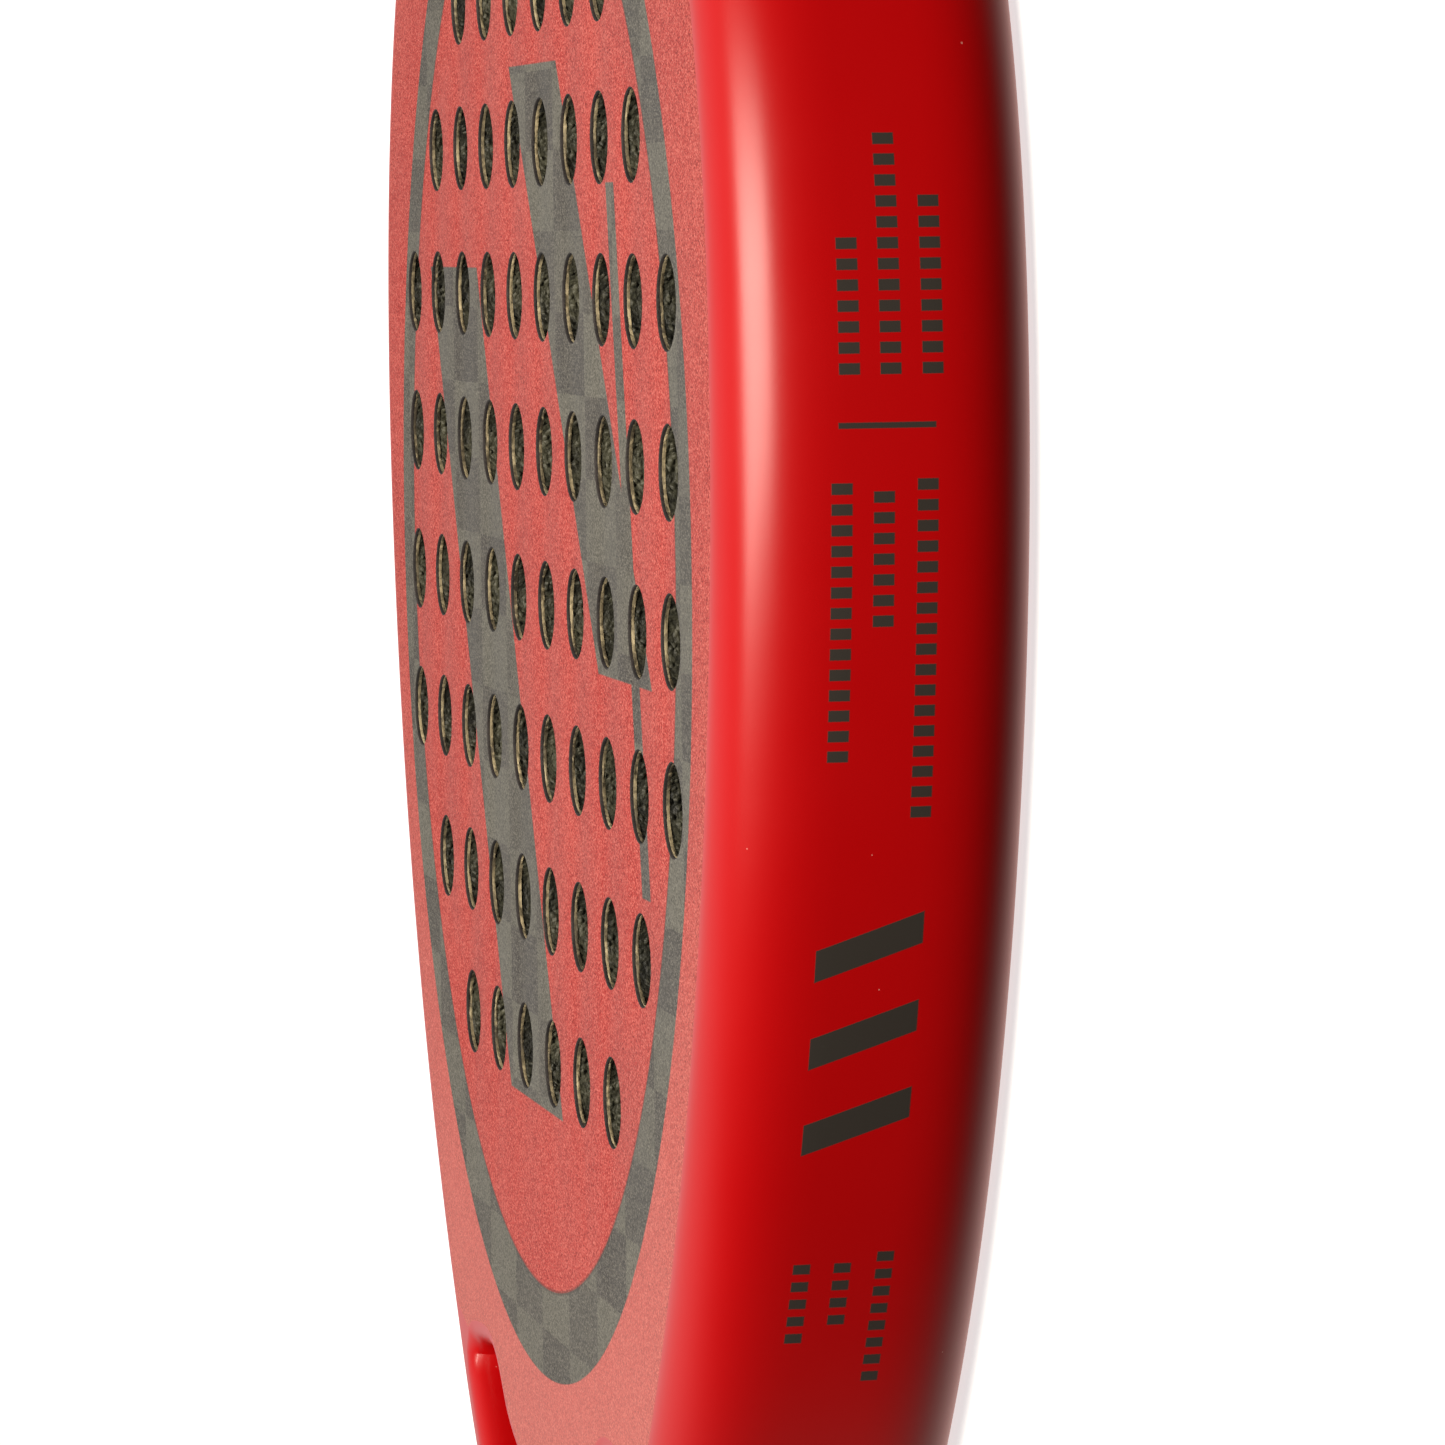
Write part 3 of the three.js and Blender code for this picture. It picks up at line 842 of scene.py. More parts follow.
@dataclass(frozen=True)
class SandedFace(Finish):
    """Matt sanded red paint with an oval ring and plain bands where the carbon shows through."""

    red: Colour = linear("9E2523")
    pale: Colour = linear("C76C63")
    dark: Colour = linear("64100F")
    # Painted sheen: the pale tint laid over the lower face outside the ring.
    wear_and_sheen: Colour = linear("C98A84")
    warm_tow: Colour = linear("5A5952")
    cool_tow: Colour = linear("383535")
    light_fibre: Colour = linear("858279")
    dark_fibre: Colour = linear("23211E")
    sheen_fibre: Colour = linear("6A665C")
    seam: Colour = linear("3A2D2A")
    tow: tuple[float, float] = (19.5, 10.5)
    ring_y: float = 85.0
    ring_side: float = 104.4
    ring_top: float = 108.4
    ring_bottom: float = 112.5
    inner_side: float = 95.0
    inner_top: float = 97.3
    inner_bottom: float = 100.4

    def dress(self, graph: Surface) -> None:
        """Adds the face's nodes.

        Args:
            graph: The material's graph.
        """
        outer = self.oval(graph, self.ring_side, self.ring_top, self.ring_bottom)
        inner = self.oval(graph, self.inner_side, self.inner_top, self.inner_bottom)
        ring = graph.math("SUBTRACT", outer["Mask"], inner["Mask"], clamp=True)
        clear = graph.smooth(inner["Depth"], 0.0035, 0.0045)
        bands = graph.times(self.band_mask(graph), clear)
        bare = graph.math("MAXIMUM", ring, bands)
        grain = graph.grain(3900.0)
        coarse = graph.grain(1500.0)
        paint = graph.mix(graph.cloud(28.0, 0.0, 0.35), self.red, self.pale)
        paint = graph.tint(grain["Light"], 0.9, paint, self.pale)
        paint = graph.tint(grain["Dark"], 0.85, paint, self.dark)
        # Painted sheen: outside the ring the face turns paler towards the throat.
        throat = graph.times(graph.smooth(graph.y, 0.09, -0.05), graph.minus(1.0, outer["Mask"]))
        paint = graph.tint(throat, 0.3, paint, self.wear_and_sheen)
        carbon = self.carbon(graph)
        carbon = graph.tint(grain["Light"], 0.55, carbon, self.light_fibre)
        carbon = graph.tint(grain["Dark"], 0.7, carbon, self.dark_fibre)
        line = graph.smooth(graph.math("ABSOLUTE", inner["Depth"]), 0.0004, 0.0002)
        face = graph.tint(line, 0.45, graph.mix(bare, paint, carbon), self.seam)
        graph.feed("Base Color", face)
        graph.feed("Roughness", graph.math("MULTIPLY_ADD", bare, -0.12, self.roughness))
        graph.feed("Specular IOR Level", 0.3)
        graph.feed("Sheen Weight", 0.05)
        graph.feed("Sheen Roughness", 0.5)
        height = graph.math("MULTIPLY_ADD", coarse["Height"], 0.5, grain["Height"])
        graph.bump(height, 0.55, 0.00012)

    def oval(self, graph: Surface, side: float, top: float, bottom: float) -> Sockets:
        """Gives the inside of one of the ring's two ovals.

        Args:
            graph: The material's graph.
            side: The oval's reach to the sides, in millimetres.
            top: Its reach up.
            bottom: Its reach down.

        Returns:
            Its mask and its depth, the distance in from its edge.
        """
        return graph.group(
            oval_group(),
            X=graph.x,
            Y=graph.y,
            Centre=self.ring_y * MM,
            Side=side * MM,
            Top=top * MM,
            Bottom=bottom * MM,
            Edge=0.0001,
        )

    def band_mask(self, graph: Surface) -> Socket:
        """Gives the mask of the plain bands.

        Args:
            graph: The material's graph.

        Returns:
            The mask.
        """
        found: Socket | float = 0.0
        for band in FACE_BANDS:
            mask = graph.group(
                bar_group(),
                Along=graph.x,
                Across=graph.y,
                Centre_Along=band.middle_x * MM,
                Centre_Across=band.middle_y * MM,
                Half_Length=band.half_width * MM,
                Half_Height=band.half_length * MM,
                Slant=band.lean,
                Pitch=4.0,
                Gap=-0.1,
                Edge=0.00012,
            )["Mask"]
            found = graph.math("MAXIMUM", found, mask)
        return found

    def carbon(self, graph: Surface) -> Socket:
        """Gives the colour of the bare spread tow weave.

        Args:
            graph: The material's graph.

        Returns:
            The colour.
        """
        width, length = self.tow[0] * MM, self.tow[1] * MM
        tow = graph.group(tow_group(), X=graph.x, Y=graph.y, Width=width, Length=length)
        cool = graph.math("MULTIPLY_ADD", tow["Tone"], 0.4, graph.times(tow["Check"], 0.6))
        base = graph.mix(cool, self.warm_tow, self.cool_tow)
        return graph.tint(graph.smooth(tow["Fibre"], 0.35, 0.65), 0.25, base, self.sheen_fibre)


@dataclass(frozen=True)
class PlainMix(Finish):
    """Two tones that change with a noise, over a bumpy surface: foams, plastics, rubbers and plies.

    Attributes:
        first: One tone.
        second: The other tone.
        scale: The size of the pattern, as repeats in a metre.
        relief: The height of the surface's bumps, in metres.
        strength: How much of the bumps shows.
        metallic: 1 for metal.
    """

    first: Colour = (0.5, 0.5, 0.5, 1.0)
    second: Colour = (0.4, 0.4, 0.4, 1.0)
    scale: float = 900.0
    relief: float = 0.0001
    strength: float = 0.5
    metallic: float = 0.0

    def dress(self, graph: Surface) -> None:
        """Adds the finish's nodes.

        Args:
            graph: The material's graph.
        """
        grain = graph.grain(self.scale)
        cloud = graph.cloud(self.scale / 12)
        base = graph.mix(graph.smooth(cloud, 0.3, 0.7), self.first, self.second)
        base = graph.tint(grain["Light"], 0.5, base, self.first)
        graph.feed("Base Color", graph.tint(grain["Dark"], 0.5, base, self.second))
        graph.feed("Roughness", graph.math("MULTIPLY_ADD", cloud, 0.12, self.roughness - 0.06))
        graph.feed("Metallic", self.metallic)
        graph.bump(grain["Height"], self.strength, self.relief)


@dataclass(frozen=True)
class GripSkin(Finish):
    """Soft embossed polyurethane with rows of small perforations."""

    base: Colour = linear("23201E")
    wear_and_sheen: Colour = linear("35312E")
    # Painted shade: the near-black colour laid in each perforation.
    pore_shade: Colour = linear("0A0908")

    def dress(self, graph: Surface) -> None:
        """Adds the grip's nodes.

        Args:
            graph: The material's graph.
        """
        wrap = graph.node("ShaderNodeUVMap", uv_map="wrap").outputs[0]
        even = {"Vector": wrap, "Scale": 1.0, "Randomness": 0.0}
        cells = graph.node("ShaderNodeTexVoronoi", even)
        pore = graph.smooth(cells.outputs["Distance"], 0.2, 0.12)
        fine = graph.noise(graph.vector, 2600.0, 4.0)
        skin = graph.mix(graph.smooth(graph.cloud(45.0), 0.35, 0.75), self.base, self.wear_and_sheen)
        graph.feed("Base Color", graph.mix(pore, skin, self.pore_shade))
        graph.feed("Roughness", graph.math("MULTIPLY_ADD", fine, 0.2, self.roughness - 0.1))
        graph.bump(graph.minus(graph.times(fine, 0.35), pore), 0.6, 0.00025)


LACQUER = Lacquer("satin_red_lacquer", 0.3)
SANDED = SandedFace("sanded_face_paint", 0.88)
CUT_CARBON = PlainMix("cut_carbon_edge", 0.75, linear("2E2725"), linear("171312"), 3000.0, 0.0001, 0.6)
CUT_GLASS = PlainMix("cut_glass_ply", 0.7, linear("B9A985"), linear("332B20"), 1300.0, 0.0002, 0.9)
CORE_FOAM = PlainMix("dark_core_foam", 0.6, linear("504F3F"), linear("141510"), 1500.0, 0.0004, 1.0)
FILLER = PlainMix("pale_filler_foam", 0.9, linear("DCD6C8"), linear("C2BAA8"), 1200.0, 0.0002, 0.5)
BARE_CARBON = PlainMix("bare_carbon", 0.45, linear("3B3A38"), linear("232221"), 800.0, 0.00005, 0.4)
RUBBER = PlainMix("moulded_rubber", 0.72, linear("211F1D"), linear("161513"), 1800.0, 0.00008, 0.5)
TAPE = PlainMix("vinyl_tape", 0.4, linear("2B2826"), linear("1D1B1A"), 700.0, 0.00006, 0.35)
CAP_PLASTIC = PlainMix("textured_plastic", 0.5, linear("1E1D1C"), linear("141413"), 2200.0, 0.00009, 0.5)
STEEL = PlainMix("pin_steel", 0.3, linear("BDBBB6"), linear("94928E"), 900.0, 0.00002, 0.3, 1.0)
GRIP = GripSkin("perforated_grip", 0.62)


@dataclass(frozen=True)
class Piece:
    """One visible piece: what it is called, what it stands for and what it is made of.

    Attributes:
        name: The piece's name.
        slot: A material slot's name; not used.
        nodes: The frame nodes that it stands for.
        finishes: Its finishes, by material index.
    """

    name: str
    slot: str
    nodes: tuple[str, ...]
    finishes: tuple[Finish, ...]

    def make(self, draft: MeshDraft, crease: float = 40.0) -> bpy.types.Object:
        """Turns a draft into the piece, puts it on the racket's body and reports it.

        Args:
            draft: The piece's points and faces.
            crease: The angle in degrees above which an edge stays sharp.

        Returns:
            The piece.
        """
        piece = draft.build(self.name, [finish.material() for finish in self.finishes], crease)
        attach(piece, BODY)
        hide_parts(*self.nodes)
        faces = len(piece.data.polygons)
        LOG.info("%s: %d faces, stands for %s", self.name, faces, ", ".join(self.nodes))
        return piece


# ---- The racket's plan ----


@dataclass
class Plan:
    """The racket's outlines seen from the front, in millimetres.

    Attributes:
        half_width: Half the width of the head.
        top_y: The top of the head.
        half_z: Half the thickness of the head.
        middle_z: The height of the middle plane.
        widest_y: Where the head is widest.
        top_power: How square the rounded top is.
        throat: Where an arm's outer edge passes from head to shank.
        handle_y: Where the shanks enter the handle.
        handle_half: Half width and half thickness inside the handle.
        shoulder: How far in the rounded shoulder reaches.
        shank_reach: How far in it reaches on a shank.
        arm_width: The width of an arm.
        shank_width: The width of a shank's wall at the opening.
        rise_length: The way along which a shank grows to the head's thickness.
        arc_y: The middle of the bridge's arc.
        arc_radius: The radius of the opening's upper edge.
        ear_y: The top of the opening's two upper corners.
        rim: The rounding of the opening's upper edge.
        step: The spacing of points along the outlines.
    """

    half_width: float
    top_y: float
    half_z: float
    middle_z: float
    widest_y: float = 103.5
    top_power: float = 2.2
    throat: tuple[float, float] = (49.7, -62.0)
    handle_y: float = -114.0
    handle_half: tuple[float, float] = (11.7, 12.7)
    shoulder: float = 10.0
    shank_reach: float = 5.7
    arm_width: float = 13.0
    shank_width: float = 7.2
    rise_length: float = 43.0
    arc_y: float = 21.6
    arc_radius: float = 69.3
    ear_y: float = -32.0
    rim: float = 4.0
    step: float = 2.0

    def rise(self, y: np.ndarray) -> np.ndarray:
        """Says how far a place has come from the handle, 0, to the head, 1."""
        return ease((y - self.handle_y) / self.rise_length)

    def half_thickness(self, y: np.ndarray) -> np.ndarray:
        """Gives half the thickness at a place along Y."""
        thin = self.handle_half[1]
        return thin + (self.half_z - thin) * self.rise(y)

    def outer(self) -> np.ndarray:
        """Gives the outer edge, from the right handle end over the head to the left one.

        Returns:
            Rows of x, y and the reach of the shoulder.
        """
        shank_x = self.handle_half[0]
        angles = np.linspace(0.0, math.pi / 2, 260)
        power = 2 / self.top_power
        across = self.half_width * np.cos(angles).clip(0) ** power
        along = self.widest_y + (self.top_y - self.widest_y) * np.sin(angles) ** power
        widest = (self.half_width, self.widest_y)
        right = np.concatenate(
            [
                [[shank_x, self.handle_y - 4]],
                bezier([(shank_x, self.handle_y), (shank_x, -97.0), (24.3, -84.6), self.throat]),
                bezier([self.throat, (121.0, 1.2), (self.half_width, 83.0), widest]),
                np.column_stack([across, along]),
            ]
        )
        left = right[-2::-1] * (-1.0, 1.0)
        line = soften(resample(np.concatenate([right, left]), self.step, False), 6, False)
        narrow = self.shank_reach + (self.shoulder - 0.5 - self.shank_reach) * self.rise(line[:, 1])
        reach = narrow + 0.5 * ease((line[:, 1] + 48.0) / 14.0)
        return np.column_stack([line, reach])

    def opening(self) -> np.ndarray:
        """Gives the throat opening's edge, clockwise from the middle of the bridge.

        Returns:
            Rows of x, y and the reach of the rounded rim.
        """
        edge = self.outer()
        inward = left_normals(edge, False)
        width = self.shank_width + (self.arm_width - self.shank_width) * self.rise(edge[:, 1])
        wall = edge[:, :2] + inward * width[:, None]
        reach = np.minimum(2.9, width - edge[:, 2] - 0.6)
        keep = (wall[:, 0] > 7.0) & (wall[:, 1] < self.ear_y - 1.6) & (wall[:, 1] > -91.0)
        arm = np.column_stack([wall, reach])[keep][::-1]
        x = np.linspace(0.0, 31.0, 50)
        y = self.arc_y - np.sqrt(self.arc_radius**2 - x**2)
        arc = np.column_stack([x, y, np.full_like(x, self.rim)])
        ear = np.array(
            [
                [36.0, self.ear_y - 3.6, self.rim],
                [39.5, self.ear_y - 0.6, self.rim],
                [46.0, self.ear_y, self.rim],
                [arm[0, 0], self.ear_y - 1.6, self.rim],
            ]
        )
        base = np.array([[6.5, -94.0, 2.0], [0.0, -97.0, 2.0]])
        half = np.concatenate([arc, ear, arm, base])
        other = half[-2:0:-1] * (-1.0, 1.0, 1.0)
        line = resample(np.concatenate([half, other]), 1.0, True)
        return resample(soften(line, 16, True), 1.3, True)

    def pocket(self) -> np.ndarray:
        """Gives the closed edge of the space that the core fills.

        Returns:
            Rows of x and y.
        """
        edge = self.outer()
        inner = (edge[:, :2] + left_normals(edge, False) * 15.0)[edge[:, 1] > -14.0]
        x = np.linspace(-44.0, 44.0, 50)
        y = self.arc_y - np.sqrt(61.0**2 - x**2)
        return np.concatenate([inner, np.column_stack([x, y])])


class Side(Enum):
    """The two faces of the racket, by the sign of their direction."""

    FRONT = 1
    REAR = -1


@dataclass
class Shell:
    """The moulded frame: head, bridge, arms and the yoke above the handle.

    Attributes:
        plan: The racket's outlines.
        ledge: How deep the faces are let in, in millimetres.
        steps: How many faces go around the rounded edge.
    """

    plan: Plan
    ledge: float = 0.9
    steps: int = 40

    def __post_init__(self) -> None:
        """Works out the outlines that the shell and the faces share."""
        plan = self.plan
        self.edge = plan.outer()
        self.hole = plan.opening()
        self.crest = self.offset(self.edge, False)
        self.rim = self.offset(self.hole, True)
        right = int(np.argmax((self.crest[:, 0] > 0) & (self.crest[:, 1] > plan.ear_y + 2.6)))
        left = len(self.crest) - 1 - right
        ear = np.array([self.crest[right, 0] - 3.0, self.crest[right, 1] - 0.5])
        near = int(np.argmin(np.hypot(*(self.rim - ear).T)))
        far = int(np.argmin(np.hypot(*(self.rim - ear * (-1.0, 1.0)).T)))
        self.arms = np.concatenate([self.crest[: right + 1], self.rim[near: far + 1], self.crest[left:]])
        self.face = np.concatenate([self.crest[right: left + 1], self.rim[far:], self.rim[: near + 1]])

    def offset(self, line: np.ndarray, closed: bool) -> np.ndarray:
        """Gives a line moved in by its own reach."""
        return line[:, :2] + left_normals(line, closed) * line[:, 2:3]

    def rounded(self, line: np.ndarray, closed: bool) -> list[np.ndarray]:
        """Gives the rings of a rounded edge, from the front face round to the rear one.

        Args:
            line: Rows of x, y and reach.
            closed: Whether the line is closed.

        Returns:
            One ring of points for each step.
        """
        power = line[:, 2] / self.plan.half_thickness(line[:, 1])
        inward = left_normals(line, closed)
        rings = []
        for angle in np.linspace(math.pi / 2, -math.pi / 2, self.steps + 1):
            depth = line[:, 2] * (1.0 - math.cos(angle))
            flat = line[:, :2] + inward * depth[:, None]
            half = self.plan.half_thickness(flat[:, 1])
            height = half * np.sign(math.sin(angle)) * np.abs(math.sin(angle)) ** power
            rings.append(raised(flat, self.plan.middle_z + height))
        return rings

    def build(self) -> bpy.types.Object:
        """Makes the shell.

        Returns:
            The shell's object.
        """
        plan = self.plan
        draft = MeshDraft()
        draft.strip(self.rounded(self.edge, False), around=False)
        draft.strip(self.rounded(self.hole, True), around=True)
        columns, rows = np.meshgrid(np.arange(-16, 16.1, 2.5), np.arange(-117, -88, 2.5))
        grid = np.stack([columns, rows], axis=-1).reshape(-1, 2)
        moved = (grid * 1.06, grid, grid + (0, 1.5))
        spare = grid[np.all([inside(points, self.arms) for points in moved], axis=0)]
        pocket = plan.pocket()
        for side in Side:
            sign = side.value
            top = plan.middle_z + sign * plan.half_z
            low = top - sign * self.ledge

            def surface(flat: np.ndarray) -> np.ndarray:
                """Gives the height of the arms' flat side."""
                return plan.middle_z + sign * plan.half_thickness(flat[:, 1])

            draft.flat([self.arms], surface, spare)
            draft.strip([raised(self.face, z) for z in (top, low)], around=True)
            draft.flat([self.face, pocket], lambda flat: low)
        depth = plan.half_z - self.ledge
        levels = (plan.middle_z + depth, plan.middle_z - depth)
        draft.strip([raised(pocket, z) for z in levels], around=True)
        self.close_end(draft)
        nodes = ("frame_tube", "bridge_tube", "throat_gusset")
        return Piece("moulded_frame", "lacquer", nodes, (LACQUER,)).make(draft)

    def close_end(self, draft: MeshDraft) -> None:
        """Closes the shell where it ends inside the handle.

        Args:
            draft: The shell's draft.
        """
        rings = self.rounded(self.edge, False)
        right = [ring[0] for ring in rings]
        left = [ring[-1] for ring in rings][::-1]
        loop = np.array(right + left)
        first = draft.add_points(loop)
        draft.faces.append(tuple(range(first, first + len(loop))))
        draft.slots.append(0)


@dataclass
class HoleGrid:
    """The drilled holes of the head, in millimetres.

    Attributes:
        pitch: The distance from hole to hole.
        radius: A hole's radius.
        middle_y: The middle of the pattern.
        rows: How many holes each row has, from the top.
        sides: How many points a hole's edge has.
    """

    pitch: float = 20.3
    radius: float = 5.75
    middle_y: float = 86.9
    rows: tuple[int, ...] = (6, 8, 10, 10, 10, 10, 8, 6)
    sides: int = 40

    def centres(self) -> np.ndarray:
        """Gives the middle of every hole.

        Returns:
            Rows of x and y.
        """
        found = []
        for row, count in enumerate(self.rows):
            y = self.middle_y + ((len(self.rows) - 1) / 2 - row) * self.pitch
            found += [((i - (count - 1) / 2) * self.pitch, y) for i in range(count)]
        return np.array(found)


@dataclass
class DrilledLayer:
    """One layer of the head with every hole cut through it.

    Attributes:
        piece: What it is, with the finish of its flat faces and that of its cuts.
        outline: Its closed edge, in millimetres.
        holes: The hole pattern.
        levels: Heights down a hole's wall, first the face that shows.
        growth: How much wider than the pattern's radius the hole is at each level.
        rough: How far a wall's points wander.
        seed: The seed of that wandering.
    """

    piece: Piece
    outline: np.ndarray
    holes: HoleGrid
    levels: Sequence[float]
    growth: Sequence[float]
    rough: float = 0.0
    seed: int = 1

    def build(self) -> bpy.types.Object:
        """Makes the layer.

        Returns:
            The layer's object.
        """
        draft = MeshDraft()
        random = np.random.default_rng(self.seed)
        round_edge = circle(self.holes.sides)
        walls = []
        for centre in self.holes.centres():
            slow = random.normal(0.0, self.rough, self.holes.sides)
            slow = 0.5 * slow + 0.25 * np.roll(slow, 1) + 0.25 * np.roll(slow, -1)
            rings = []
            for level, growth in zip(self.levels, self.growth):
                wander = slow + random.normal(0.0, self.rough * 0.6, self.holes.sides)
                radius = self.holes.radius + growth + wander
                rings.append(raised(centre + round_edge * radius[:, None], level))
            draft.strip(rings, around=True, slot=1)
            walls.append(rings)
        for index in (0, -1):
            level = self.levels[index]
            outlines = [self.outline] + [rings[index] for rings in walls]
            draft.flat(outlines, lambda flat: level)
        ends = [raised(self.outline, self.levels[index]) for index in (0, -1)]
        draft.strip(ends, around=True, slot=1)
        return self.piece.make(draft, crease=35.0)


@dataclass
class Head:
    """The drilled layers of the head: two faces, their glass backing and the core.

    Attributes:
        shell: The frame that they are let into.
        holes: The hole pattern.
        skin: The thickness of the painted carbon ply, in millimetres.
        backing: The thickness of the glass ply.
    """

    shell: Shell
    holes: HoleGrid
    skin: float = 0.42
    backing: float = 0.4

    def build(self) -> None:
        """Makes every layer."""
        plan = self.shell.plan
        for side in Side:
            name = side.name.lower()
            sign = side.value
            top = plan.middle_z + sign * plan.half_z
            face = self.shell.face
            levels = [top - sign * down for down in (0.0, 0.05, 0.13, self.skin)]
            growth = [0.14, 0.05, 0.0, 0.0]
            finishes = (SANDED, CUT_CARBON)
            skin = Piece(f"{name}_face_skin", "sanded_face", (f"{name}_carbon_ply",), finishes)
            DrilledLayer(skin, face, self.holes, levels, growth).build()
            levels = [top - sign * (self.skin + self.backing * part) for part in (0.0, 0.5, 1.0)]
            growth = [-0.03, -0.07, -0.02]
            finishes = (CUT_GLASS, CUT_GLASS)
            glass = Piece(f"{name}_glass_backing", "glass_ply", (f"{name}_glass_ply",), finishes)
            DrilledLayer(glass, face, self.holes, levels, growth, rough=0.07, seed=5 + sign).build()
        half = plan.half_z - self.skin - self.backing
        shallow = np.array([0.0, 0.3, 0.7, 1.2, 1.8, 2.6, 3.6, 5.0, 7.5, 11.0])
        levels = list(plan.middle_z + half - shallow) + list(plan.middle_z - half + shallow[::-1])
        growth = [0.02] * len(levels)
        core = Piece("foam_core", "core_foam", ("core",), (CORE_FOAM, CORE_FOAM))
        DrilledLayer(core, plan.pocket(), self.holes, levels, growth, rough=0.1, seed=11).build()


# ---- Handle ----


@dataclass
class HandleSection:
    """The handle's rounded box section, in millimetres.

    Attributes:
        half_x: Half its width.
        half_z: Half its thickness.
        corner: The radius of its corners.
        middle_z: The height of its middle.
        count: How many points go around it.
    """

    half_x: float
    half_z: float
    corner: float
    middle_z: float
    count: int = 112

    def outline(self, grow: float) -> np.ndarray:
        """Gives the section's edge grown outwards.

        Args:
            grow: How far it grows.

        Returns:
            Rows of x and z about the handle's axis.
        """
        corner = self.corner + grow
        x, z = self.half_x - self.corner, self.half_z - self.corner
        quarter = np.linspace(0.0, math.pi / 2, 24)
        parts = []
        for i, (sx, sz) in enumerate(((1, 1), (-1, 1), (-1, -1), (1, -1))):
            angle = quarter + i * math.pi / 2
            parts.append(np.stack([np.cos(angle), np.sin(angle)], axis=1) * corner + (sx * x, sz * z))
        return resample(np.concatenate(parts), 2 * math.pi * 15.0 / self.count, True)[: self.count]

    def even(self, grow: float) -> np.ndarray:
        """Gives the grown edge with the same number of points, matched by direction.

        Args:
            grow: How far it grows.

        Returns:
            Rows of x and z about the handle's axis.
        """
        line = self.outline(grow)
        angle = np.arctan2(line[:, 1], line[:, 0]) % (2 * math.pi)
        order = np.argsort(angle)
        wanted = np.arange(self.count) / self.count * 2 * math.pi
        radius = np.hypot(*line[order].T)
        reach = np.interp(wanted, angle[order], radius, period=2 * math.pi)
        return circle(self.count) * reach[:, None]

    def ring(self, y: float, grow: float, bore: float = 0.0, blend: float = 0.0) -> np.ndarray:
        """Gives one ring around the handle's axis.

        Args:
            y: Where the ring lies.
            grow: How far the section grows there.
            bore: The radius of a round hole.
            blend: 0 for the section, 1 for the round hole.

        Returns:
            Rows of x, y and z.
        """
        box = self.even(grow)
        return self.placed(box * (1.0 - blend) + circle(self.count) * bore * blend, y)

    def placed(self, flat: np.ndarray, y: float) -> np.ndarray:
        """Puts rows of x and z about the handle's axis at a place along it."""
        return np.column_stack([flat[:, 0], np.full(self.count, y), self.middle_z + flat[:, 1]])


